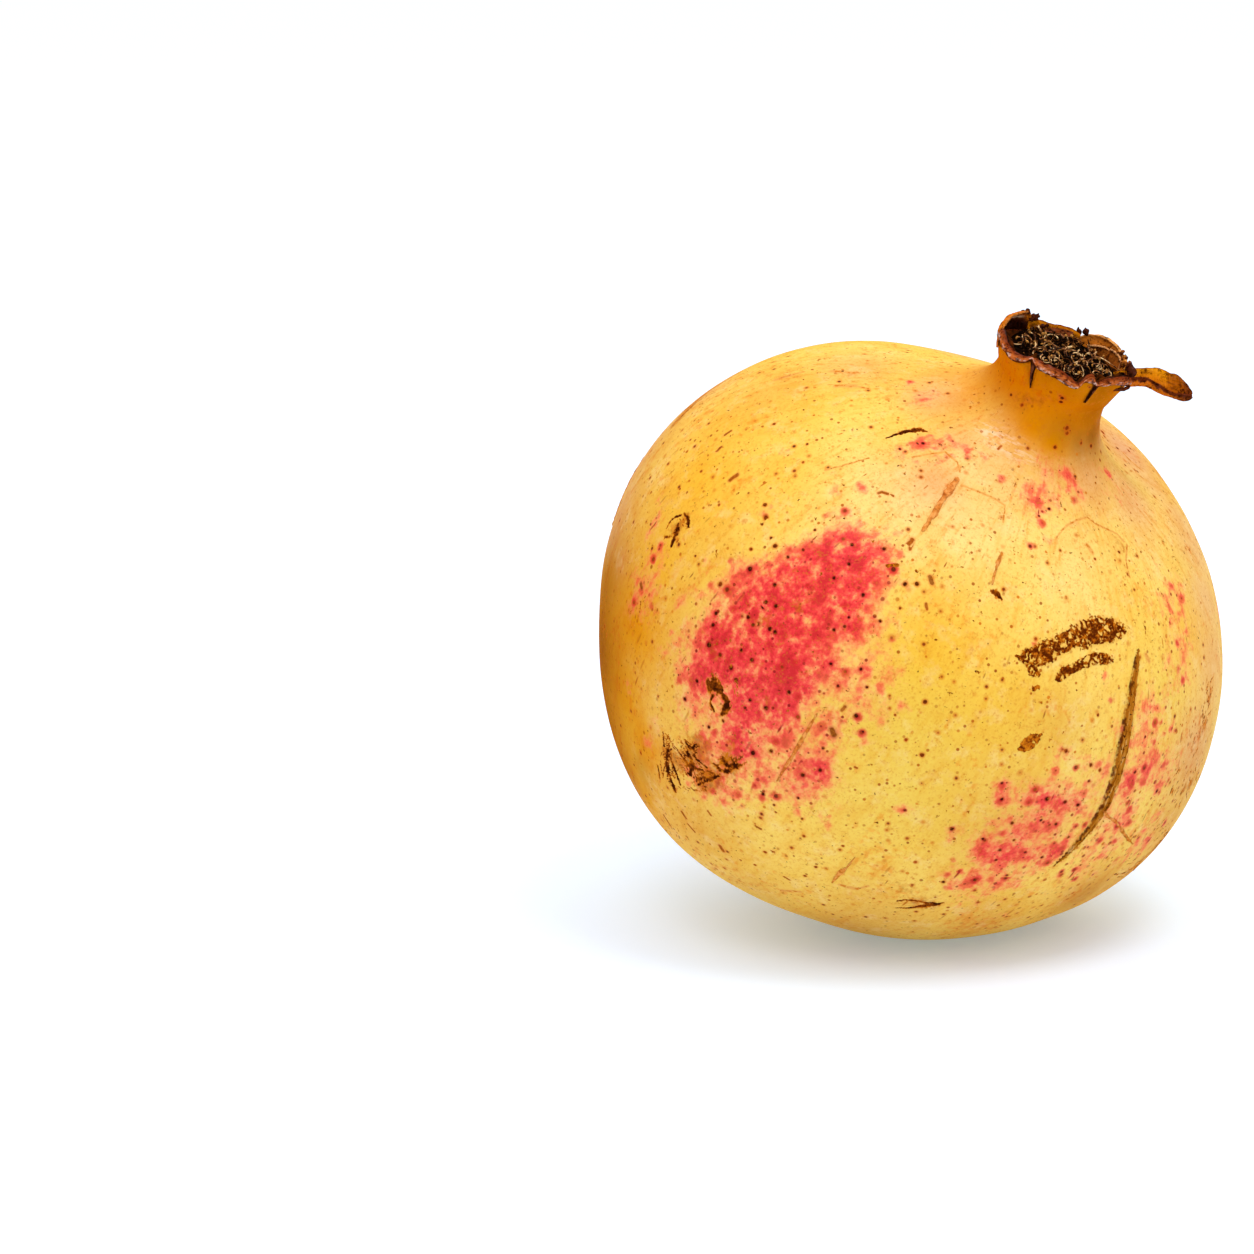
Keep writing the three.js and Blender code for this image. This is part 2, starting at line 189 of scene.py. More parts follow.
class Finish:
    """One material's nodes, laid out a call at a time. Sizes are in millimetres."""

    def __init__(self, name, **values):
        self.material = bpy.data.materials.new(name)
        self.material.use_nodes = True
        self.tree = self.material.node_tree
        self.shader = self.tree.nodes["Principled BSDF"]
        self.place = self.add("ShaderNodeTexCoord").outputs["Object"]
        self.set(**values)

    def feed(self, socket, value):
        """Gives an input another node's output, or a plain value."""
        if isinstance(value, bpy.types.NodeSocket):
            self.tree.links.new(value, socket)
        else:
            socket.default_value = value

    def add(self, kind, inputs=None, **settings):
        """A new node with its inputs fed."""
        node = self.tree.nodes.new(kind)
        for key, value in settings.items():
            setattr(node, key, value)
        for key, value in (inputs or {}).items():
            self.feed(node.inputs[key], value)
        return node

    def maths(self, operation, a, b=0.0, clamp=False):
        """A sum on plain values."""
        return self.add("ShaderNodeMath", {0: a, 1: b}, operation=operation, use_clamp=clamp).outputs[0]

    def chain(self, operation, values):
        """Several values put together, two at a time."""
        total = values[0]
        for value in values[1:]:
            total = self.maths(operation, total, value)
        return total

    def plus(self, *values):
        return self.chain("ADD", values)

    def times(self, *values):
        return self.chain("MULTIPLY", values)

    def most(self, *values):
        return self.chain("MAXIMUM", values)

    def over(self, value, size):
        return self.maths("DIVIDE", value, size)

    def swing(self, value, reach):
        """A value that lies round a half, brought round zero, so that it pushes another one up and down."""
        return self.maths("MULTIPLY", self.maths("SUBTRACT", value, 0.5), reach)

    def vector(self, operation, a, b=None, out="Vector", **more):
        """A sum on vectors."""
        inputs = {0: a, **more} if b is None else {0: a, 1: b, **more}
        return self.add("ShaderNodeVectorMath", inputs, operation=operation).outputs[out]

    def parts_of(self, shade):
        """A colour's red, green and blue, which are three random numbers where it is a cell's colour."""
        return self.add("ShaderNodeSeparateColor", {0: shade}).outputs

    def fade(self, value, low, high, start=0.0, end=1.0):
        """start up to low, end from high on, smooth between them."""
        inputs = {"Value": value, "From Min": low, "From Max": high, "To Min": start, "To Max": end}
        node = self.add("ShaderNodeMapRange", inputs, interpolation_type="SMOOTHSTEP", clamp=True)
        return node.outputs["Result"]

    def mix(self, amount, a, b, blend="MIX"):
        """One colour laid over another by an amount."""
        node = self.add("ShaderNodeMix", data_type="RGBA", blend_type=blend, clamp_factor=True)
        self.feed(node.inputs["Factor"], amount)
        self.feed(node.inputs[6], a)
        self.feed(node.inputs[7], b)
        return node.outputs[2]

    def ramp(self, value, *stops):
        """Colours along a value: each stop is where it stands and its red, green and blue."""
        node = self.add("ShaderNodeValToRGB", {"Fac": value})
        marks = node.color_ramp.elements
        while len(marks) < len(stops):
            marks.new(0.5)
        for mark, (at, *rgb) in zip(marks, stops):
            mark.position = at
            mark.color = colour(*rgb)
        return node.outputs["Color"]

    def stretched(self, along, factor):
        """The place, squeezed along one direction so that a pattern on it comes out drawn along it."""
        turn = Vector((1, 0, 0)).rotation_difference(Vector(along)).inverted().to_euler()
        turned = self.add("ShaderNodeVectorRotate", {"Vector": self.place, "Rotation": turn},
                          rotation_type="EULER_XYZ")
        return self.vector("MULTIPLY", turned.outputs[0], (1 / factor, 1, 1))

    def noise(self, size, detail=3.0, roughness=0.5, warp=0.0, at=None, out="Fac"):
        """Soft noise round a half, in lumps of a size."""
        inputs = {"Vector": at or self.place, "Scale": 1 / (size * MM), "Detail": detail,
                  "Roughness": roughness, "Distortion": warp}
        return self.add("ShaderNodeTexNoise", inputs).outputs[out]

    def cells(self, size, at=None, feature="F1"):
        """Cells about as far apart as their size."""
        inputs = {"Vector": at or self.place, "Scale": 1 / (size * MM)}
        return self.add("ShaderNodeTexVoronoi", inputs, feature=feature)

    def noted(self, name, out="Fac"):
        """What note wrote on the piece."""
        return self.add("ShaderNodeAttribute", attribute_name=name).outputs[out]

    def warped(self, size, reach, at=None):
        """The place, pushed about by noise, for ragged edges."""
        push = self.vector("SUBTRACT", self.noise(size, at=at, out="Color"), (0.5, 0.5, 0.5))
        return self.vector("ADD", at or self.place, self.vector("SCALE", push, Scale=2 * reach * MM))

    def relief(self, *layers):
        """Bumps, each a height from 0 to 1 and how many millimetres that stands for."""
        normal = None
        for height, rise in layers:
            node = self.add("ShaderNodeBump", {"Height": height, "Distance": abs(rise) * MM, "Strength": 1.0},
                            invert=rise < 0)
            if normal is not None:
                self.feed(node.inputs["Normal"], normal)
            normal = node.outputs["Normal"]
        self.feed(self.shader.inputs["Normal"], normal)

    def set(self, **values):
        """Feeds the shader's own inputs, and gives the material."""
        for key, value in values.items():
            self.feed(self.shader.inputs[key.replace("_", " ")], value)
        return self.material


# The crown's frame and its lip

def in_crown(out, up, turn):
    """A point of the crown's frame: out from its middle and above the wall in millimetres, degrees round."""
    angle = np.radians(turn)
    return RIM_MIDDLE + RIM_ACROSS * out * np.cos(angle) - RIM_FRONT * out * np.sin(angle) + RIM_UP * up


def outwards_at(turn):
    """The way out from the crown's middle, so many degrees round."""
    return in_crown(1, 0, turn) - RIM_MIDDLE


def through(rows, at):
    """The values of a table's rows at a place in its first column, on a smooth curve through them."""
    rows = np.array(rows, float)
    at = np.clip(at, rows[0, 0], rows[-1, 0])
    k = int(np.clip(np.searchsorted(rows[:, 0], at, side="right") - 1, 0, len(rows) - 2))
    p0, p1, p2, p3 = (rows[int(np.clip(i, 0, len(rows) - 1)), 1:] for i in (k - 1, k, k + 1, k + 2))
    t = (at - rows[k, 0]) / (rows[k + 1, 0] - rows[k, 0])
    return p1 + 0.5 * t * (p2 - p0 + t * (2 * p0 - 5 * p1 + 4 * p2 - p3 + t * (3 * (p1 - p2) + p3 - p0)))


# The lip round the rim: degrees round, out and up in millimetres, half its width, half its thickness, and how
# many degrees it is rolled out
LIP = [
    (0, 9.7, 0.6, 0.45, 0.35, 20), (12, 9.5, 0.0, 0.3, 0.25, 10), (60, 9.4, -0.3, 0.3, 0.25, 10),
    (100, 9.4, -0.3, 0.3, 0.25, 10), (125, 9.4, -0.3, 0.3, 0.25, 10), (150, 9.6, -0.1, 0.32, 0.3, 20),
    (164, 9.9, 0.0, 0.34, 0.3, 30), (172, 10.0, 0.35, 0.42, 0.36, 45), (178, 10.1, 0.85, 0.52, 0.42, 55),
    (183, 10.1, 1.15, 0.6, 0.45, 55),
    (190, 10.15, 1.1, 0.66, 0.48, 55), (201, 10.2, 0.55, 0.62, 0.44, 50), (213, 10.25, 0.2, 0.62, 0.45, 48),
    (224, 10.2, 0.25, 0.6, 0.42, 48), (230, 10.05, 0.7, 0.5, 0.4, 45), (233.5, 9.8, 1.3, 0.3, 0.3, 40),
    (237, 10.0, 1.1, 0.45, 0.38, 45), (243, 10.15, 0.95, 0.6, 0.42, 48), (252, 10.2, 0.9, 0.64, 0.45, 50),
    (262, 10.25, 0.75, 0.68, 0.46, 52), (271, 10.3, 0.35, 0.62, 0.42, 50), (277, 10.3, 0.0, 0.42, 0.32, 40),
    (279.5, 10.2, 0.25, 0.4, 0.32, 45), (283, 10.05, 1.3, 0.58, 0.38, 60), (289, 9.95, 1.6, 0.62, 0.38, 60),
    (293.5, 9.9, 1.0, 0.4, 0.34, 40), (296, 9.8, 0.7, 0.3, 0.3, 30), (300, 10.1, 1.2, 0.48, 0.38, 50),
    (308, 10.5, 1.75, 0.6, 0.4, 65), (318, 10.8, 1.95, 0.66, 0.4, 75), (332, 10.8, 1.5, 0.62, 0.4, 75),
    (345, 10.4, 0.9, 0.5, 0.38, 50), (360, 9.7, 0.6, 0.45, 0.35, 20),
]


def lip_at(turn):
    """The lip's out, up, half width, half thickness and roll, so many degrees round."""
    return through(LIP, turn % 360)


def rim_place(places):
    """Each place in the crown's own frame: out from its middle, above the wall, and degrees round."""
    across, up, front = ((places - RIM_MIDDLE) @ way for way in (RIM_ACROSS, RIM_UP, RIM_FRONT))
    return np.hypot(across, front), up, np.degrees(np.arctan2(-front, across)) % 360


# The rind's own shape, which every mark is laid on

rind = copy_node("fruit", "rind")
bpy.ops.object.mode_set(mode="EDIT")
bpy.ops.mesh.tris_convert_to_quads(face_threshold=math.radians(40), shape_threshold=math.radians(60))
bpy.ops.object.mode_set(mode="OBJECT")
smooth_rind = new_piece("smooth_rind", rind.data.copy())
finish_with(smooth_rind, "SUBSURF", levels=3, render_levels=3)
finish_with(rind, "SUBSURF", levels=2, render_levels=2)
faces = [tuple(face.vertices) for face in smooth_rind.data.polygons]
SKIN = BVHTree.FromPolygons(places_of(smooth_rind).tolist(), faces)
bpy.data.objects.remove(smooth_rind)


def on_skin(x, y):
    """The point of the rind that a pixel of the photograph shows, or the nearest one inside the outline."""
    for _ in range(40):
        hit = SKIN.ray_cast(Vector(camera_place()), Vector(sight_line(x, y)))[0]
        if hit is not None:
            return np.array(hit)
        x += (BODY_PIXEL[0] - x) * 0.005
        y += (BODY_PIXEL[1] - y) * 0.005
    raise ValueError(f"pixel {x}, {y} misses the fruit")


def facing(heading, height):
    """The point of the rind in a direction from the body's middle: degrees from the front and above level."""
    turn, lift = math.radians(heading - 90), math.radians(height)
    way = Vector((math.cos(turn) * math.cos(lift), math.sin(turn) * math.cos(lift), math.sin(lift)))
    return np.array(SKIN.ray_cast(Vector(BODY_MIDDLE) + way * 200, -way)[0])


def curve_through(points, gap=2.0):
    """Extra points between given ones, on a smooth curve through them."""
    points = np.array(points, float)
    ends = np.vstack([2 * points[0] - points[1], points, 2 * points[-1] - points[-2]])
    drawn = []
    for a, b, c, d in zip(ends, ends[1:], ends[2:], ends[3:]):
        count = max(1, int(np.linalg.norm(c[:2] - b[:2]) / gap))
        for t in np.arange(count) / count:
            drawn.append(0.5 * (2 * b + (c - a) * t + (2 * a - 5 * b + 4 * c - d) * t ** 2
                                + (3 * b - a - 3 * c + d) * t ** 3))
    drawn.append(points[-1])
    return np.array(drawn)


def line_on_skin(points):
    """A smooth line over the rind through pixels of the photograph, each with half its width."""
    drawn = curve_through(points)
    return np.array([[*on_skin(x, y), abs(half)] for x, y, half in drawn])


def from_line(places, line):
    """How far each place is from a line: the distance over half the line's width, the distance along it, and
    the distance to its left, in millimetres."""
    over = np.full(len(places), 99.0)
    along = np.zeros(len(places))
    left = np.full(len(places), 99.0)
    middle, reach = line[:, :3].mean(0), np.ptp(line[:, :3], axis=0).max() + 6
    near = np.flatnonzero(np.linalg.norm(places - middle, axis=1) < reach)
    start = 0.0
    for (*a, wide_a), (*b, wide_b) in zip(line, line[1:]):
        a, step_on = np.array(a), np.array(b) - np.array(a)
        length = max(np.linalg.norm(step_on), 1e-6)
        off = places[near] - a
        t = np.clip(off @ step_on / length ** 2, 0, 1)
        away = off - t[:, None] * step_on
        far = np.linalg.norm(away, axis=1)
        scaled = far / (wide_a + (wide_b - wide_a) * t)
        side = np.cross(step_on / length, away) @ ((a - BODY_MIDDLE) / np.linalg.norm(a - BODY_MIDDLE))
        closer = scaled < over[near]
        which = near[closer]
        over[which], along[which], left[which] = scaled[closer], start + (t * length)[closer], side[closer]
        start += length
    return over, along, left


# The marks on the rind, read off the photograph: pixels, then half widths in millimetres

# The long healed split on the right and its branch
SPLIT = [(1138, 649, 0.12), (1137, 660, 0.4), (1136, 668, 0.5), (1133, 687, 0.65), (1129, 712, 0.85),
         (1125, 740, 1.02), (1117, 775, 0.98), (1110, 795, 0.88), (1104, 808, 0.9), (1093, 825, 0.65),
         (1080, 840, 0.52), (1066, 855, 0.32), (1053, 866, 0.1)]
SPLIT_BRANCH = [(1103, 811, 0.4), (1108, 817, 0.26), (1115, 821, 0.22), (1121, 829, 0.24), (1127, 838, 0.22),
                (1133, 844, 0.1)]
# Tan scars
SCARS = [
    [(957, 479, 0.4), (948, 492, 0.5), (938, 507, 0.4), (928, 523, 0.32), (923, 531, 0.2)],
    [(817, 714, 0.12), (808, 729, 0.22), (798, 747, 0.3), (788, 763, 0.26), (777, 781, 0.12)],
    [(1000, 556, 0.15), (996, 568, 0.3), (992, 585, 0.12)],
    [(855, 857, 0.1), (848, 866, 0.2), (840, 873, 0.35), (832, 883, 0.15)],
]
# Dark cracks
CRACKS = [
    [(886, 438, 0.12), (903, 432, 0.35), (917, 429, 0.4), (927, 431, 0.2)],
    [(666, 528, 0.1), (672, 519, 0.2), (681, 515, 0.22)],
    [(684, 514, 0.15), (688, 519, 0.35), (688, 528, 0.15)],
    [(678, 523, 0.2), (676, 532, 0.5), (671, 545, 0.3)], [(663, 536, 0.12), (669, 537, 0.25)],
    [(674, 424, 0.12), (685, 413, 0.3), (697, 402, 0.35), (712, 391, 0.12)],
    [(663, 732, 0.12), (664, 746, 0.2)],
    [(667, 748, 0.2), (667, 766, 0.45), (672, 782, 0.4), (675, 791, 0.3)],
    [(671, 760, 0.2), (677, 775, 0.3), (680, 784, 0.15)], [(658, 765, 0.15), (660, 779, 0.15)],
    [(685, 740, 0.25), (690, 749, 0.3), (696, 744, 0.15)],
    [(687, 752, 0.3), (692, 762, 0.5), (690, 775, 0.35)],
    [(680, 754, 0.2), (690, 766, 0.35), (703, 771, 0.2)], [(693, 756, 0.2), (706, 768, 0.25)],
    [(723, 757, 0.3), (728, 766, 0.6), (741, 765, 0.3)],
    [(713, 764, 0.2), (724, 772, 0.35), (735, 768, 0.2)],
    [(698, 785, 0.2), (709, 780, 0.35), (719, 776, 0.2)],
    [(897, 901, 0.12), (909, 900, 0.25), (926, 903, 0.3), (940, 904, 0.12)],
    [(896, 908, 0.12), (910, 908, 0.2), (926, 906, 0.6), (936, 905, 0.4), (944, 903, 0.15)],
    [(991, 591, 0.2), (997, 593, 0.5), (1000, 598, 0.35)],
    [(711, 685, 0.9), (715, 687, 1.4), (719, 691, 0.9)],
    [(720, 694, 0.3), (725, 698, 0.55), (727, 704, 0.6), (725, 710, 0.6), (721, 714, 0.3)],
    [(713, 696, 0.22), (710, 703, 0.2), (714, 711, 0.22)],
]
# Dark folds of the neck below the corners between lobes
FOLDS = [
    [(1031, 359, 1.15), (1032, 366, 0.85), (1031, 375, 0.42), (1031, 387, 0.05)],
    [(1102, 376, 1.1), (1099, 382, 0.75), (1095, 388, 0.45), (1090, 394, 0.26), (1083, 402, 0.04)],
    [(1003, 335, 0.4), (1003, 344, 0.3), (1003, 353, 0.05)],
]
# Corky brown nets and patches
NETS = [
    [(1016, 656, 0.2), (1023, 659, 0.7), (1031, 656, 1.5), (1045, 653, 1.8), (1058, 646, 1.5),
     (1070, 639, 1.6), (1085, 634, 2.1), (1100, 631, 2.25), (1112, 630, 1.9), (1121, 630, 1.1),
     (1125, 631, 0.3)],
    [(1028, 665, 0.6), (1033, 671, 0.8), (1038, 675, 0.4)],
    [(1058, 679, 0.5), (1063, 674, 0.9), (1076, 667, 0.75), (1090, 660, 0.95), (1103, 659, 0.95),
     (1112, 660, 0.5)],
]
PATCHES = [
    [(1019, 749, 0.35), (1026, 745, 0.95), (1033, 740, 1.0), (1041, 735, 0.3)],
    [(1034, 689, 0.4), (1038, 687, 0.35)], [(1041, 702, 0.2), (1042, 703, 0.2)],
    [(888, 566, 0.3), (898, 565, 0.25)], [(1135, 871, 0.25), (1140, 868, 0.2)],
]
# Marks on the sides that the photograph doesn't show: headings and heights in degrees, and half widths
FAR_SCARS = [
    [(205, 18, 0.1), (209, 12, 0.4), (211, 5, 0.5), (210, -2, 0.15)],
    [(262, 34, 0.1), (266, 28, 0.35), (268, 21, 0.1)],
]
FAR_CRACKS = [
    [(128, -12, 0.1), (132, -14, 0.3), (137, -13, 0.1)], [(232, 42, 0.1), (236, 40, 0.3), (240, 41, 0.1)],
    [(178, -32, 0.1), (184, -33, 0.35), (189, -31, 0.1)], [(95, 34, 0.1), (98, 30, 0.25), (99, 26, 0.1)],
]
FAR_NETS = [
    [(236, -4, 0.3), (241, -6, 1.2), (247, -7, 1.0), (251, -10, 0.4)],
    [(150, 48, 0.3), (154, 46, 0.8), (157, 43, 0.3)],
]
# Scratches: the pixel of their middle, their spread across and down, the strokes' direction in degrees, their
# length in pixels, and how many
SCRATCHES = [
    (667, 752, 4, 15, 84, 18, 24), (690, 757, 8, 12, 58, 12, 34), (728, 764, 9, 5, 140, 11, 26),
    (706, 776, 13, 5, 160, 11, 26), (676, 773, 7, 7, 78, 14, 14), (697, 789, 15, 3, 35, 5, 16),
    (640, 600, 9, 30, 95, 6, 10), (1160, 842, 8, 20, 140, 9, 22), (1128, 876, 12, 9, 155, 6, 16),
    (1209, 700, 3, 22, 100, 8, 14), (1190, 785, 5, 14, 110, 7, 12), (685, 521, 5, 5, 72, 5, 10),
    (672, 538, 5, 5, 120, 4, 8), (735, 686, 6, 20, 70, 3, 12), (1180, 800, 9, 26, 118, 9, 20),
    (660, 830, 14, 20, 50, 6, 10), (605, 690, 3, 24, 92, 8, 10), (1135, 866, 16, 12, 150, 6, 14),
    (1166, 836, 6, 16, 128, 8, 26), (1204, 722, 3, 24, 98, 8, 18), (1194, 760, 4, 20, 106, 8, 16),
]
# Thin tan lines, such as the edges of the pale patches
FAINT = [
    [(1055, 540, 0.12), (1066, 526, 0.14), (1087, 517, 0.16), (1096, 524, 0.14), (1105, 528, 0.18),
     (1117, 534, 0.16), (1127, 545, 0.18), (1126, 560, 0.16), (1130, 577, 0.14)],
    [(962, 485, 0.15), (980, 492, 0.16), (996, 499, 0.16), (1005, 505, 0.14), (1003, 522, 0.12)],
    [(912, 457, 0.12), (930, 454, 0.14), (945, 452, 0.15), (957, 462, 0.16), (960, 472, 0.12)],
    [(825, 470, 0.12), (840, 466, 0.14), (858, 461, 0.14), (869, 458, 0.1)],
    [(1002, 553, 0.2), (1000, 560, 0.2), (997, 566, 0.2)], [(1087, 545, 0.3), (1092, 552, 0.3)],
    [(832, 371, 0.3), (846, 372, 0.4), (858, 373, 0.3)],
    [(836, 386, 0.3), (855, 386, 0.4), (868, 389, 0.2)],
    [(776, 380, 0.3), (790, 376, 0.35), (803, 372, 0.2)],
    [(1190, 440, 0.2), (1203, 459, 0.3), (1211, 478, 0.2)], [(781, 891, 0.2), (800, 892, 0.25)],
    [(840, 885, 0.2), (857, 889, 0.3), (868, 886, 0.2)],
    [(1124, 454, 0.2), (1132, 462, 0.25), (1143, 471, 0.2)], [(1173, 500, 0.2), (1184, 515, 0.2)],
    [(1146, 655, 0.3), (1149, 661, 0.3)],
]
# Dashes and dots: from a pixel to a pixel, and half the width in millimetres
DASHES = [
    (725, 435, 731, 431, 0.25), (717, 451, 721, 447, 0.25), (730, 480, 737, 475, 0.4),
    (664, 815, 671, 826, 0.25), (682, 812, 686, 818, 0.28), (688, 824, 695, 832, 0.22),
    (708, 811, 711, 815, 0.22), (756, 826, 761, 829, 0.2), (784, 877, 789, 880, 0.22),
    (771, 851, 774, 852, 0.22), (720, 846, 723, 851, 0.4), (926, 604, 927, 609, 0.25),
    (855, 767, 857, 768, 0.2), (879, 493, 882, 492, 0.3), (882, 492, 888, 494, 0.25),
    (891, 495, 893, 496, 0.2), (998, 449, 1001, 446, 0.2), (641, 584, 642, 588, 0.35),
    (908, 545, 912, 540, 0.4), (910, 549, 912, 543, 0.3), (930, 577, 932, 583, 0.4),
    (832, 730, 834, 735, 0.5), (842, 710, 845, 707, 0.3), (682, 412, 690, 406, 0.3),
]
DOTS = [
    (774, 424, 0.3), (807, 444, 0.25), (803, 462, 0.25), (701, 471, 0.25), (680, 489, 0.2),
    (719, 505, 0.22), (765, 505, 0.35), (766, 518, 0.45), (762, 524, 0.25), (775, 546, 0.42),
    (751, 549, 0.3), (771, 538, 0.3), (815, 530, 0.25), (852, 545, 0.3), (803, 550, 0.25), (788, 557, 0.28),
    (884, 549, 0.35), (695, 556, 0.2), (750, 569, 0.45), (720, 584, 0.4), (775, 585, 0.35),
    (716, 613, 0.35), (713, 625, 0.35), (748, 617, 0.35), (758, 624, 0.3), (753, 625, 0.3), (770, 629, 0.4),
    (775, 632, 0.35), (776, 606, 0.4), (763, 607, 0.35), (766, 602, 0.3), (709, 645, 0.5), (720, 655, 0.35),
    (741, 650, 0.3), (752, 660, 0.35), (731, 668, 0.4), (736, 680, 0.4), (697, 681, 0.35), (685, 699, 0.35),
    (789, 692, 0.35), (766, 708, 0.4), (750, 700, 0.3), (745, 708, 0.25), (723, 721, 0.3), (709, 727, 0.3),
    (753, 753, 0.45), (771, 751, 0.35), (820, 770, 0.35), (803, 775, 0.4), (856, 716, 0.4), (861, 669, 0.3),
    (838, 686, 0.25), (867, 687, 0.25), (831, 664, 0.3), (849, 617, 0.25), (834, 630, 0.3), (863, 595, 0.3),
    (849, 564, 0.3), (834, 578, 0.3), (900, 608, 0.25), (905, 584, 0.4), (917, 584, 0.4), (880, 621, 0.25),
    (925, 702, 0.4), (906, 740, 0.3), (922, 755, 0.38), (823, 748, 0.25), (895, 715, 0.2), (863, 732, 0.2),
    (804, 836, 0.28), (843, 846, 0.25), (816, 867, 0.28), (805, 876, 0.3), (755, 865, 0.25),
    (765, 852, 0.3), (774, 805, 0.25), (776, 812, 0.25), (798, 798, 0.25), (802, 819, 0.25),
    (763, 794, 0.3), (640, 794, 0.25), (634, 765, 0.25), (641, 753, 0.3), (675, 789, 0.4), (918, 443, 0.28),
    (923, 443, 0.28), (900, 449, 0.25), (944, 495, 0.25), (1055, 447, 0.35), (1081, 443, 0.3),
    (1091, 446, 0.35), (1100, 460, 0.25), (1049, 509, 0.3), (1039, 516, 0.22), (1095, 559, 0.25),
    (1128, 574, 0.3), (1119, 552, 0.25), (1071, 631, 0.3), (1062, 398, 0.4), (1061, 402, 0.35),
    (1022, 405, 0.3), (1067, 428, 0.4), (1067, 433, 0.35), (1002, 783, 0.25), (1002, 799, 0.3),
    (1047, 799, 0.4), (1065, 802, 0.35), (1078, 805, 0.35), (1012, 823, 0.3), (1056, 824, 0.3),
    (1041, 820, 0.25), (952, 829, 0.4), (905, 810, 0.25), (1066, 751, 0.35), (1091, 765, 0.35),
    (1100, 770, 0.3), (1089, 781, 0.25), (975, 880, 0.35), (943, 882, 0.35), (1000, 850, 0.3),
    (1014, 840, 0.25), (1042, 857, 0.3), (1025, 852, 0.25), (983, 839, 0.3), (996, 860, 0.25),
    (1157, 791, 0.35), (1135, 772, 0.3), (1112, 784, 0.35), (1160, 805, 0.25), (1105, 640, 0.2),
    (1098, 715, 0.25), (1145, 737, 0.2),
]

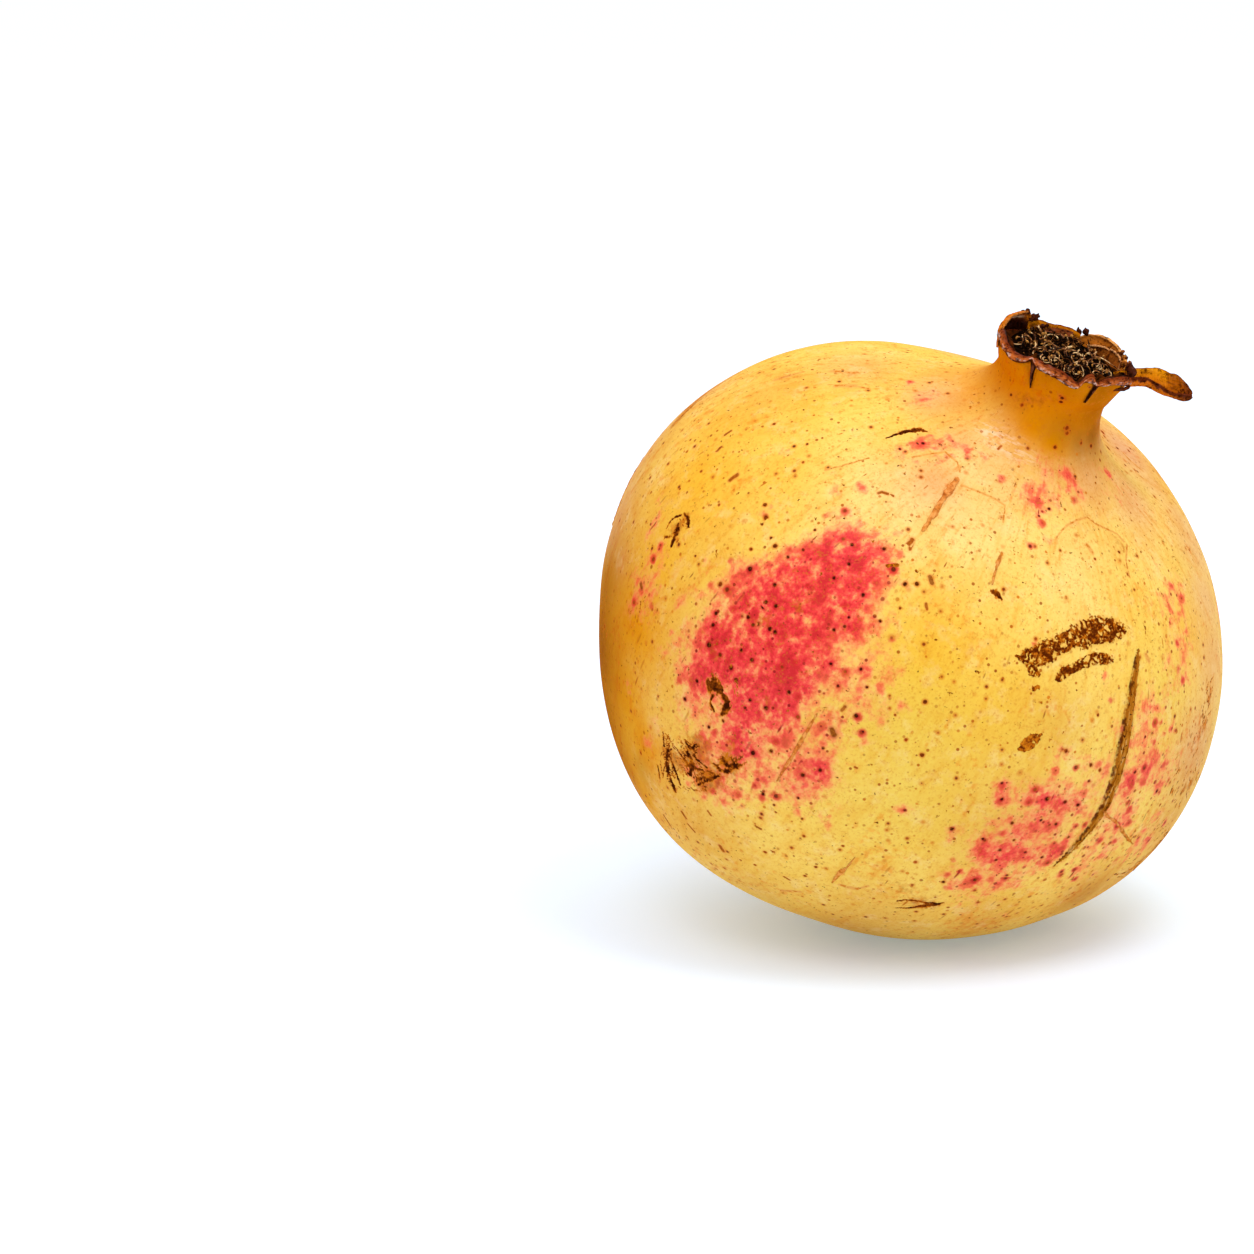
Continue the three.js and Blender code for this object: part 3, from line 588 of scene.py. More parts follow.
# Red flush: pixels, how many pixels across, and how strong
FLUSH = [
    (775, 590, 24, 1), (800, 570, 25, 0.9), (825, 555, 22, 0.85), (850, 560, 25, 0.9), (872, 560, 20, 0.65),
    (845, 535, 14, 0.6), (840, 518, 9, 0.4), (860, 590, 18, 0.8), (845, 610, 18, 0.85),
    (850, 630, 14, 0.75), (828, 585, 20, 0.8), (780, 620, 26, 1), (775, 650, 28, 1), (790, 670, 22, 1),
    (760, 660, 25, 1), (740, 645, 22, 0.75), (718, 640, 20, 0.8), (713, 620, 12, 0.7), (715, 665, 18, 0.75),
    (700, 680, 18, 0.5), (740, 690, 22, 0.75), (765, 695, 20, 0.85), (785, 705, 18, 0.9),
    (805, 685, 12, 0.75), (745, 720, 18, 0.55), (775, 722, 14, 0.6), (735, 575, 13, 0.45),
    (750, 567, 13, 0.55), (750, 600, 18, 0.7), (812, 618, 20, 0.75), (812, 642, 18, 0.7),
    (830, 665, 11, 0.75), (865, 668, 9, 0.5), (845, 682, 9, 0.4), (860, 697, 7, 0.4), (877, 625, 8, 0.5),
    (888, 570, 11, 0.4), (820, 770, 15, 0.85), (800, 790, 10, 0.6), (765, 785, 14, 0.45),
    (735, 735, 18, 0.5), (705, 735, 12, 0.4), (682, 665, 11, 0.4), (830, 733, 11, 0.6), (862, 738, 7, 0.5),
    (855, 716, 6, 0.6), (902, 707, 6, 0.45), (882, 720, 6, 0.3), (682, 603, 8, 0.45), (700, 598, 7, 0.3),
    (655, 590, 10, 0.3), (706, 559, 5, 0.5), (715, 588, 12, 0.3), (765, 512, 7, 0.35), (747, 750, 13, 0.5),
    (862, 487, 7, 0.5), (835, 490, 6, 0.3), (655, 522, 9, 0.4), (661, 500, 7, 0.35), (648, 535, 6, 0.35),
    (662, 650, 5, 0.35), (655, 722, 8, 0.35), (648, 742, 8, 0.4), (675, 640, 6, 0.3), (636, 592, 7, 0.3),
    (905, 810, 9, 0.5), (825, 823, 6, 0.35), (952, 831, 8, 0.5), (783, 452, 5, 0.5), (628, 690, 9, 0.25),
    (958, 446, 6, 0.4), (968, 451, 6, 0.4), (985, 458, 6, 0.45), (922, 443, 9, 0.5), (900, 450, 8, 0.45),
    (909, 384, 5, 0.5), (925, 400, 5, 0.5), (1025, 492, 8, 0.35), (1036, 505, 8, 0.4), (1039, 521, 8, 0.5),
    (1045, 538, 6, 0.5), (1030, 545, 6, 0.35), (1000, 477, 6, 0.35), (1066, 474, 7, 0.45),
    (1075, 485, 7, 0.45), (1084, 497, 6, 0.35), (1110, 475, 6, 0.35), (1090, 575, 5, 0.25),
    (1172, 585, 7, 0.4), (1181, 596, 7, 0.45), (1178, 640, 6, 0.45), (1168, 662, 6, 0.4),
    (1183, 680, 7, 0.5), (1105, 680, 5, 0.5), (1110, 700, 6, 0.3), (1120, 732, 9, 0.5), (1147, 712, 8, 0.4),
    (1170, 730, 8, 0.3), (1150, 770, 13, 0.55), (1130, 780, 10, 0.5), (1103, 765, 9, 0.4),
    (1157, 790, 8, 0.5), (1125, 818, 11, 0.55), (1110, 850, 9, 0.45), (1140, 843, 8, 0.4),
    (1005, 785, 9, 0.6), (1000, 799, 9, 0.65), (1030, 795, 9, 0.35), (1048, 798, 12, 0.85),
    (1065, 803, 8, 0.7), (1078, 806, 8, 0.7), (1055, 825, 8, 0.5), (1015, 825, 9, 0.45),
    (1040, 820, 9, 0.5), (985, 851, 13, 0.7), (1003, 856, 12, 0.7), (1030, 856, 11, 0.55),
    (1052, 853, 12, 0.8), (1066, 843, 9, 0.6), (1020, 840, 9, 0.45), (975, 880, 8, 0.6), (997, 884, 8, 0.5),
    (953, 885, 8, 0.65), (1037, 867, 9, 0.4), (1015, 883, 8, 0.4), (976, 905, 5, 0.5), (1000, 915, 7, 0.4),
    (1066, 752, 7, 0.6), (1088, 766, 7, 0.4), (1033, 642, 5, 0.25),
    # Thinly scattered blotches round them
    (700, 770, 26, 0.4), (722, 790, 22, 0.36), (735, 745, 24, 0.45), (692, 700, 24, 0.4),
    (712, 665, 22, 0.5), (735, 605, 20, 0.45), (755, 650, 66, 0.4), (735, 710, 42, 0.42),
    (775, 745, 46, 0.38), (800, 780, 34, 0.36), (845, 650, 46, 0.36), (700, 650, 30, 0.34),
    (725, 775, 30, 0.3), (860, 560, 36, 0.4), (655, 560, 30, 0.24), (640, 600, 26, 0.26),
    (870, 700, 26, 0.22), (1030, 830, 46, 0.36), (1060, 800, 36, 0.34), (1000, 860, 40, 0.32),
    (1125, 790, 34, 0.42), (1140, 750, 32, 0.36), (1150, 710, 26, 0.3), (1110, 830, 30, 0.36),
    (1090, 860, 34, 0.28), (980, 890, 34, 0.24), (1050, 490, 34, 0.26), (1170, 600, 34, 0.26),
    (1180, 660, 28, 0.28), (930, 445, 30, 0.26), (1145, 840, 34, 0.3), (1165, 770, 26, 0.34),
    (1040, 500, 18, 0.3), (920, 395, 20, 0.22), (1110, 480, 24, 0.26),
]

# Flush on the sides that the photograph doesn't show: heading and height in degrees, millimetres across, and
# how strong
FAR_FLUSH = [
    (150, 20, 11, 0.9), (165, 8, 9, 0.8), (140, 5, 8, 0.7), (172, 28, 6, 0.6), (125, 25, 5, 0.5),
    (205, -15, 7, 0.6), (215, -25, 6, 0.6), (100, -20, 5, 0.5), (240, 15, 6, 0.4), (255, 30, 4, 0.5),
    (112, 40, 4, 0.4), (190, 50, 5, 0.4), (85, 5, 3, 0.4), (270, -10, 4, 0.35), (182, -5, 4, 0.5),
]

# Broad tones of the ground colour, among them painted highlight and painted shade, each laid over the ones
# before it: pixels, pixels across, and how strong
# Pale skin, and also a painted highlight on the upper middle of the fruit
PALE_AND_HIGHLIGHT = (254, 218, 140)
GOLD = (248, 186, 40)
OLIVE = (236, 198, 64)
OCHRE = (220, 156, 60)
# A rosy tone of the skin, and also a painted sheen on the highlight and along the fruit's sides
ROSY_AND_SHEEN = (232, 172, 126)
NECK = (220, 130, 0)
DEEP = (230, 142, 0)
# Painted shade, laid on as a brown tone: the shaded right side of the neck, a shadow down the left side, and
# a little at the bottom
PAINTED_SHADE_BROWN = (134, 74, 0)
TONES = [
    # Pale skin, and the painted highlight on the upper middle of the fruit
    (PALE_AND_HIGHLIGHT, [
        (890, 500, 70, 0.8), (960, 525, 70, 0.7), (1080, 570, 60, 0.5), (1040, 560, 40, 0.4),
        (960, 470, 40, 0.6), (1000, 440, 30, 0.7), (1150, 560, 30, 0.4),
    ]),
    (GOLD, [
        (700, 480, 80, 0.8), (635, 620, 50, 1.0), (625, 700, 40, 1.0), (780, 480, 50, 0.5),
        (660, 560, 50, 0.8), (940, 650, 60, 0.7), (640, 790, 50, 0.8), (980, 700, 60, 0.5),
        (740, 430, 60, 0.6), (800, 400, 50, 0.5), (1190, 630, 40, 0.5),
    ]),
    (OLIVE, [
        (920, 730, 80, 0.5), (900, 800, 80, 0.4), (630, 740, 40, 0.6), (650, 460, 30, 0.5),
        (1000, 720, 60, 0.3), (1180, 560, 30, 0.3), (1170, 690, 30, 0.4),
    ]),
    (OCHRE, [
        (880, 920, 70, 0.5), (760, 890, 60, 0.4), (1090, 890, 60, 0.5), (1190, 780, 50, 0.5),
        (985, 920, 60, 0.5), (950, 375, 40, 0.5), (940, 410, 30, 0.4), (1120, 880, 60, 0.7),
        (1010, 835, 70, 0.4), (700, 830, 60, 0.5), (770, 390, 50, 0.4), (1195, 762, 56, 0.8),
        (1170, 820, 56, 0.7), (1060, 725, 36, 0.35), (850, 925, 60, 0.7), (1085, 892, 50, 0.9),
        (860, 368, 44, 0.35), (958, 402, 24, 0.6),
    ]),
    # Rosy skin, and a painted sheen on the highlight and along the fruit's sides
    (ROSY_AND_SHEEN, [
        (960, 440, 28, 0.5), (935, 480, 34, 0.7), (1090, 480, 40, 0.7), (1050, 470, 30, 0.5),
        (650, 420, 40, 0.4), (1130, 500, 45, 0.7), (1180, 520, 40, 0.6), (930, 395, 34, 0.6),
        (1130, 450, 30, 0.8), (620, 560, 25, 0.5), (610, 800, 25, 0.4), (970, 330, 30, 0.4),
        (1190, 540, 60, 0.6), (1205, 600, 50, 0.6), (1212, 660, 50, 0.6), (640, 450, 60, 0.6),
        (1125, 450, 50, 0.9), (1150, 480, 40, 0.6), (1195, 740, 50, 0.5), (860, 365, 50, 0.3),
        (690, 385, 50, 0.5), (622, 510, 50, 0.6), (1000, 470, 50, 0.4),
    ]),
    (NECK, []),
    (DEEP, [
        (606, 600, 90, 0.9), (604, 650, 150, 1.0), (608, 710, 130, 1.0), (640, 640, 90, 0.7),
        (645, 745, 50, 0.9), (1035, 425, 26, 1.0), (1052, 442, 22, 1.0), (648, 800, 40, 0.6),
        (978, 392, 18, 0.5),
    ]),
    # Painted shade: the neck's shaded right side, a shadow down the left side and a little at the bottom
    (PAINTED_SHADE_BROWN, [
        (1096, 412, 26, 0.45), (1092, 436, 20, 0.6), (1098, 398, 18, 0.5), (1097, 426, 18, 0.4),
        (1050, 378, 20, 0.2), (1070, 390, 20, 0.3), (1066, 432, 22, 0.35), (604, 600, 70, 0.6),
        (602, 650, 80, 0.75), (605, 705, 76, 0.65), (618, 755, 50, 0.5), (1085, 895, 30, 0.2),
        (640, 768, 28, 0.3), (1080, 442, 20, 0.45),
    ]),
]
GROUND = (250, 209, 98)
# Brown stains: pixels, how many pixels across, and how strong
STAINS = [
    (668, 755, 9, 0.8), (690, 758, 12, 0.7), (712, 777, 12, 1.0), (704, 784, 10, 1.0), (729, 764, 12, 0.8),
    (767, 621, 6, 0.5), (757, 622, 5, 0.5), (780, 680, 5, 0.6), (767, 700, 5, 0.6), (730, 744, 6, 0.7),
    (676, 530, 9, 0.7), (686, 518, 7, 0.6), (1209, 700, 6, 0.5), (1200, 735, 7, 0.4), (697, 748, 14, 0.9),
    (678, 762, 10, 0.7), (1190, 785, 9, 0.6), (1155, 848, 14, 0.6), (1140, 862, 12, 0.5),
    (1128, 872, 10, 0.4), (920, 903, 16, 0.5), (903, 888, 9, 0.5), (714, 652, 7, 0.5), (799, 608, 6, 0.6),
    (812, 594, 6, 0.5), (1022, 400, 12, 0.36), (1003, 372, 9, 0.3), (1042, 400, 12, 0.36),
    (1062, 399, 7, 0.4), (1067, 430, 7, 0.4), (1120, 548, 9, 0.4), (1090, 532, 14, 0.2), (677, 421, 9, 0.9),
    (687, 410, 10, 1.0), (697, 400, 10, 1.0), (708, 391, 9, 0.9), (720, 382, 8, 0.6), (735, 373, 8, 0.5),
    (1212, 640, 8, 0.3), (1210, 690, 8, 0.4), (1205, 725, 7, 0.4), (1183, 790, 8, 0.4), (790, 378, 14, 0.3),
    (850, 375, 14, 0.3), (1200, 470, 14, 0.2), (620, 640, 8, 0.4),
]
# Thin pale patches, as if the skin had peeled there: pixels of their corners, then how strong
VEILS = [
    ([(868, 458), (912, 452), (945, 450), (960, 462), (957, 478), (938, 507), (925, 528), (880, 520),
      (862, 490)], 0.5),
    ([(962, 484), (1003, 500), (1003, 525), (985, 540), (955, 530)], 0.45),
    ([(1055, 540), (1066, 526), (1087, 517), (1104, 528), (1088, 556), (1070, 560)], 0.7),
    ([(1106, 529), (1127, 545), (1126, 560), (1130, 577), (1112, 566), (1100, 548)], 1.0),
]
# Whitish scaly scuffs at the neck's foot, partly a painted sheen: pixels, how many pixels across, and how
# strong
SCUFFS_AND_SHEEN = [
    (985, 430, 10, 0.9), (998, 440, 12, 1.0), (1014, 450, 11, 0.9), (1029, 458, 8, 0.6), (1106, 410, 7, 0.6),
]
# Where the small brown and red pores stand close together: pixels, how many pixels across, and how strong
SPECKLED = [
    (640, 600, 45, 0.9), (650, 700, 50, 0.8), (690, 560, 40, 0.6), (1150, 800, 60, 1.0),
    (1080, 860, 60, 0.9), (1020, 860, 50, 0.6), (1170, 660, 40, 0.8), (1190, 740, 40, 1.0),
    (640, 810, 50, 0.8), (700, 860, 50, 0.7), (900, 880, 50, 0.5), (980, 920, 50, 0.8), (680, 460, 50, 0.5),
    (1150, 470, 50, 0.5), (890, 605, 22, 0.9), (720, 600, 30, 0.8), (740, 780, 40, 0.5),
    (1040, 690, 30, 0.4), (1130, 720, 30, 0.6), (760, 380, 40, 0.4), (1060, 900, 50, 1.0),
    (1110, 850, 50, 1.0),
]


# How far round each mark the rind's faces are cut smaller, in millimetres
MARK_REACH, FOLD_REACH = 0.8, 0.5
# How far the marks stand out of the skin or sink into it, in millimetres
SPLIT_RISE, CORK_RISE, FOLD_RISE, GRAIN, ROLLING = 0.34, 0.1, 0.55, 0.16, 0.12
DITCH, FURROW, CRACK_DEPTH = 0.2, 0.22, 0.1
FAR_DOTS = 190  # scattered over the sides that the photograph doesn't show
# How dark a crack and a scratch are
CRACK_INK, SCRATCH_INK = 0.92, 0.72


def refine_near(piece, lines, reach, cuts):
    """Cuts the faces near some lines into smaller ones."""
    middles = face_middles(piece)
    near = np.zeros(len(middles), bool)
    for line in lines:
        for a in line:
            near |= np.linalg.norm(middles - a[:3], axis=1) < a[3] + reach
    activate(piece)
    bpy.ops.object.mode_set(mode="EDIT")
    bpy.context.tool_settings.mesh_select_mode = (False, False, True)
    bpy.ops.object.mode_set(mode="OBJECT")
    piece.data.edges.foreach_set("select", np.zeros(len(piece.data.edges), bool))
    piece.data.vertices.foreach_set("select", np.zeros(len(piece.data.vertices), bool))
    piece.data.polygons.foreach_set("select", near)
    bpy.ops.object.mode_set(mode="EDIT")
    bpy.ops.mesh.subdivide(number_cuts=cuts, quadcorner="INNERVERT")
    bpy.ops.object.mode_set(mode="OBJECT")


def far_line(points):
    """A smooth line over the rind through headings and heights in degrees, each with half its width."""
    drawn = curve_through(points, 0.5)
    return np.array([[*facing(heading, height), abs(half)] for heading, height, half in drawn])


def pixels_of(places):
    """The pixels of the photograph at which each place stands."""
    off = places - camera_place()
    away = -(off @ CAMERA_BACK) / CAMERA_AWAY
    return PHOTO_SIDE / 2 + off @ CAMERA_RIGHT / away / PIXEL, PHOTO_SIDE / 2 - off @ CAMERA_UP / away / PIXEL


def within(x, y, corners):
    """Which points lie inside a shape with these corners."""
    inside = np.zeros(len(x), bool)
    for (x0, y0), (x1, y1) in zip(corners, corners[1:] + corners[:1]):
        crossed = (y0 > y) != (y1 > y)
        inside ^= crossed & (x < (x1 - x0) * (y - y0) / ((y1 - y0) or 1) + x0)
    return inside


def scratch_lines(draw):
    """Short strokes, bowed a little, scattered where the skin is scratched."""
    lines = []
    for x, y, across, down, direction, length, count in SCRATCHES:
        for _ in range(count):
            middle_x, middle_y = x + draw.gauss(0, across * 0.6), y + draw.gauss(0, down * 0.6)
            way = math.radians(direction + draw.gauss(0, 12))
            reach, half = length * draw.uniform(0.2, 0.6), draw.uniform(0.07, 0.15)
            bow = draw.uniform(-0.15, 0.15) * reach
            dx, dy = reach * math.cos(way), reach * math.sin(way)
            start, end = (middle_x - dx, middle_y - dy, 0.08), (middle_x + dx, middle_y + dy, 0.08)
            lines.append(line_on_skin([start, (middle_x - bow, middle_y + bow, half), end]))
    return lines


splits = [line_on_skin(SPLIT), line_on_skin(SPLIT_BRANCH)]
scars = [line_on_skin(line) for line in SCARS] + [far_line(line) for line in FAR_SCARS]
cracks = [line_on_skin(line) for line in CRACKS] + [far_line(line) for line in FAR_CRACKS]
scratches = scratch_lines(random.Random(8))
nets = [line_on_skin(line) for line in NETS] + [far_line(line) for line in FAR_NETS]
patches = [line_on_skin(line) for line in PATCHES]
folds = [line_on_skin(line) for line in FOLDS]

refine_near(rind, splits + scars + cracks + scratches + nets + patches, MARK_REACH, 5)
refine_near(rind, folds, FOLD_REACH, 2)
on_surface = np.array([SKIN.find_nearest(Vector(p))[0] for p in places_of(rind)])
move_to(rind, on_surface)
outward = normals_of(rind)
rim_out, rim_up, rim_turn = rim_place(on_surface)


def nearest_over(lines):
    """How far each place of the rind is from the nearest of some lines, over half that line's width."""
    return np.min(np.stack([from_line(on_surface, line)[0] for line in lines]), axis=0)


# The split, its branch and the scars share three measures: over the half width, along, and to the left
measures = np.array([from_line(on_surface, line) for line in splits + scars])
closest = np.argmin(measures[:, 0], axis=0)
split_over, split_along, split_left = measures[closest, :, np.arange(len(on_surface))].T
is_main_split = (closest < 1).astype(float)
crack_over, scratch_over, fold_over = nearest_over(cracks), nearest_over(scratches), nearest_over(folds)

# Cork is a lumpy skin, which the finish breaks up into threads. Ink is how dark a crack or a scratch is
net = 1 - step(nearest_over(nets), 0.55, 1.3)
patch = 0.8 * (1 - step(nearest_over(patches), 0.6, 1.35))
ink = np.zeros(len(on_surface))
for i in np.flatnonzero(np.minimum(crack_over, scratch_over) < 2.2):
    p = Vector(on_surface[i])
    uneven = 0.7 * noise.noise(p / 0.35) + 0.5 * noise.noise(p / 1.1)
    ink[i] = max(CRACK_INK * (1 - step(crack_over[i] + uneven, 0.55, 1.25)),
                 SCRATCH_INK * (1 - step(scratch_over[i] + uneven, 0.55, 1.25)))


def bell(value, width):
    """1 where the value is nothing, and soft slopes down to nothing on both sides of it."""
    return np.exp(-(value / width) ** 2)


# The relief: how far each place stands out of the skin, in millimetres
neck_height = on_surface @ CROWN_AXIS - BODY_MIDDLE @ CROWN_AXIS
on_neck = step(neck_height, 39, 47)
grain = lumps_at(on_surface, 0.5)
ridge = (1 - step(split_over, 0.7, 1.1)) * (SPLIT_RISE + GRAIN * grain)
ridge -= DITCH * bell(split_over - 1.15, 0.22)
ridge -= FURROW * bell(split_left, 0.22) * (split_over < 0.8) * is_main_split
lift = ridge * (0.4 + 0.6 * is_main_split)
lift += np.maximum(net, patch) * (CORK_RISE + GRAIN * grain)
lift -= ink * CRACK_DEPTH
lift += ROLLING * lumps_at(on_surface, 9) * step(on_surface[:, 2], 0.6, 4) * (1 - on_neck)
lift += FOLD_RISE * (1 - step(fold_over, 0.1, 1.2)) - DITCH * bell(fold_over - 1.3, 0.3)
# The neck's wall reaches up and out to the lip all the way round
near_rim = step(rim_up, -3.2, -0.3) * (rim_out < 12)
outer_wall = step(rim_out, 8.5, 9.1)
lip_out, lip_up = np.array([lip_at(turn)[:2] for turn in rim_turn]).T
rim_ways = np.stack([outwards_at(turn) for turn in range(360)])[rim_turn.astype(int) % 360]
rise = near_rim * (lip_up - 0.35 + 0.6 * outer_wall)
flare = near_rim * outer_wall * np.maximum(0, lip_out - RIM_RADIUS)
move_to(rind, on_surface + outward * lift[:, None] + RIM_UP * rise[:, None] + rim_ways * flare[:, None])

note(rind, "split_over", np.minimum(split_over, 9))
note(rind, "split_place", np.stack([split_along, np.clip(split_left, -3, 3), is_main_split], axis=1))
note(rind, "net", net)
note(rind, "patch", patch)
note(rind, "ink", ink)
note(rind, "neck", on_neck)
note(rind, "fold", 1 - step(fold_over, 0.3, 1.5))
# Painted shade: the inside of the neck's cup and the top of its wall are painted near black
facing_in = step(-(outward * rim_ways).sum(1), -0.3, 0.1) * (rim_up > -14) * (rim_out < 10.5)
note(rind, "in_cup", np.maximum(facing_in, step(rim_up, -1.0, -0.6) * (rim_out < 12)))

# Where each place lies between the crown and the foot, and round the axis, for the streaks along the fruit
off_middle = on_surface - BODY_MIDDLE
along_axis = off_middle @ CROWN_AXIS
from_crown = np.arccos(np.clip(along_axis / np.linalg.norm(off_middle, axis=1), -1, 1))
sideways = off_middle - along_axis[:, None] * CROWN_AXIS
sideways /= np.maximum(np.linalg.norm(sideways, axis=1), 1e-6)[:, None]
note(rind, "streak_place", (sideways * 28 + CROWN_AXIS * (from_crown * 8)[:, None]) * MM)


def on_photo(marks):
    """Round marks given in pixels, as their middles on the skin, their sizes in millimetres and strengths."""
    return [(on_skin(x, y), across * PIXEL, strength) for x, y, across, strength in marks]


def blobs(places, marks):
    """How strongly soft round marks cover each place: each is a middle, a size in millimetres, a strength."""
    bare = np.ones(len(places))
    for middle, spread, strength in marks:
        bare *= 1 - strength * bell(np.linalg.norm(places - middle, axis=1), spread)
    return 1 - bare


far_flush = [(facing(heading, height), spread, strength) for heading, height, spread, strength in FAR_FLUSH]
note(rind, "flush", blobs(on_surface, on_photo(FLUSH) + far_flush))
note(rind, "stain", blobs(on_surface, on_photo(STAINS)))
# Where the whitish scuffs and their painted sheen lie
note(rind, "scuff_and_sheen", blobs(on_surface, on_photo(SCUFFS_AND_SHEEN)))
pixel_x, pixel_y = pixels_of(on_surface)
seen = outward @ CAMERA_BACK > 0
note(rind, "veil", sum(strong * (within(pixel_x, pixel_y, corners) & seen) for corners, strong in VEILS))
far_side = step(on_surface[:, 1] - BODY_MIDDLE[1], 0, 25)
patchy = 0.5 + 0.5 * lumps_at(on_surface, 14)
note(rind, "speckled", np.maximum(blobs(on_surface, on_photo(SPECKLED)), far_side * patchy))

shade = np.tile(np.array(colour(*GROUND)[:3]), (len(on_surface), 1))
for rgb, marks in TONES:
    amount = step(neck_height, 40, 50) if rgb == NECK else np.zeros(len(on_surface))
    for middle, spread, strength in on_photo(marks):
        amount = np.maximum(amount, strength * bell(np.linalg.norm(on_surface - middle, axis=1), spread))
    shade += (np.array(colour(*rgb)[:3]) - shade) * amount[:, None]
ground = rind.data.color_attributes.new("ground", "FLOAT_COLOR", "POINT")
ground.data.foreach_set("color", np.hstack([shade, np.ones((len(shade), 1))]).astype(np.float32).ravel())

# Each face knows its nearest dot, dash or thin line, so that the finish can draw it sharp: its two ends, half
# its width and how tan it is
spots = [(*on_skin(x, y), *on_skin(x, y), half * 0.82, 0) for x, y, half in DOTS]
spots += [(*on_skin(x0, y0), *on_skin(x1, y1), half * 0.8, 0.3) for x0, y0, x1, y1, half in DASHES]
for line in FAINT:
    ends = curve_through(line, 8)
    spots += [(*on_skin(*a[:2]), *on_skin(*b[:2]), b[2] * 0.9, 1) for a, b in zip(ends, ends[1:])]
draw = random.Random(4)
for _ in range(FAR_DOTS):
    heading, height = draw.uniform(75, 285), math.degrees(math.asin(draw.uniform(-0.95, 0.85)))
    here = facing(heading, height)
    spots.append((*here, *here, draw.choice((0.2, 0.25, 0.25, 0.3, 0.4)), 0))
spots = np.array(spots)


def nearest_spot(places):
    """Which spot is nearest to each place."""
    nearest = np.zeros(len(places), int)
    best = np.full(len(places), np.inf)
    for i, spot in enumerate(spots):
        reach = spot[3:6] - spot[:3]
        along = np.clip((places - spot[:3]) @ reach / max(reach @ reach, 1e-9), 0, 1)
        off = np.linalg.norm(places - spot[:3] - along[:, None] * reach, axis=1) - spot[6]
        nearest[off < best] = i
        best = np.minimum(best, off)
    return nearest


nearest = nearest_spot(face_middles(rind))
note(rind, "spot_start", spots[nearest, :3] * MM, "FACE")
note(rind, "spot_end", spots[nearest, 3:6] * MM, "FACE")
note(rind, "spot_half", spots[nearest, 6] * MM, "FACE")
note(rind, "spot_tan", spots[nearest, 7], "FACE")


# The rind's finish, in the order in which each layer covers the last

# How far apart the pores, the dashes and the net's threads lie, in millimetres
PORE_GAP, TINY_PORE_GAP, DASH_GAP, THREAD_GAP = 2.3, 1.1, 1.2, 1.15


class RindFinish(Finish):
    """The rind's material: what its layers share, and the colour laid on so far."""

    def __init__(self):
        super().__init__("waxy_rind", Specular_IOR_Level=0.0, Coat_Roughness=0.3)
        self.body = self.fade(self.noted("neck"), 0, 1, 1, 0.4)
        self.fine = self.noise(0.45, 2)
        self.streak_place = self.noted("streak_place", "Vector")
        self.streaks = self.noise(1.0, 3, 0.6, at=self.streak_place)
        self.speckled = self.noted("speckled")
        self.flush = self.maths("POWER", self.noted("flush"), 0.62)
        self.pores = self.cells(PORE_GAP)
        self.pore_parts = self.parts_of(self.pores.outputs["Color"])
        self.base = self.noted("ground", "Color")
        self.pale_ground = self.fade(self.parts_of(self.base)[2], 0.0, 0.06)

    def lay(self, amount, shade, blend="MIX"):
        """Covers the colour laid on so far with another."""
        self.base = self.mix(amount, self.base, shade, blend)


def lay_ground(f):
    """Golden and ochre clouds, pale ones, streaks along the fruit, a fine grain, pale patches, and whitish
    scuffs that are partly a painted sheen.
    """
    f.lay(f.fade(f.noise(13, 4, 0.55), 0.38, 0.66, 0, 0.42), (0.95, 0.8, 0.34, 1), "MULTIPLY")
    f.lay(f.fade(f.noise(4.5, 4, 0.6, warp=0.6), 0.46, 0.7, 0, 0.3), (0.92, 0.68, 0.36, 1), "MULTIPLY")
    pale_cloud = f.fade(f.noise(3.2, 4, 0.65), 0.5, 0.7, 0, 0.22)
    f.lay(f.times(pale_cloud, f.body, f.pale_ground), colour(255, 230, 170))
    f.lay(f.times(f.fade(f.streaks, 0.48, 0.7, 0, 0.42), f.body), (0.92, 0.68, 0.3, 1), "MULTIPLY")
    f.lay(f.fade(f.fine, 0.35, 0.7, 0, 0.3), (0.94, 0.78, 0.55, 1), "MULTIPLY")
    peeled = f.fade(f.noise(1.6, 4), 0.35, 0.6, 0.3, 0.6)
    f.lay(f.times(f.noted("veil"), peeled), (0.93, 0.8, 0.66, 1), "MULTIPLY")
    # Whitish scuffs at the neck's foot, partly a painted sheen
    scuffed_and_sheen = f.fade(f.noise(0.7, 4, 0.7, at=f.stretched((0.9, 0, -0.45), 4)), 0.46, 0.6)
    f.lay(f.times(f.noted("scuff_and_sheen"), scuffed_and_sheen, 0.42), colour(255, 240, 212))
    freckle = f.plus(f.noise(1.1, 3, 0.6), f.swing(f.streaks, 0.5), f.swing(f.noise(8, 2), 0.6),
                     f.times(f.speckled, 0.07))
    f.lay(f.fade(freckle, 0.6, 0.78, 0, 0.55), (0.95, 0.52, 0.3, 1), "MULTIPLY")


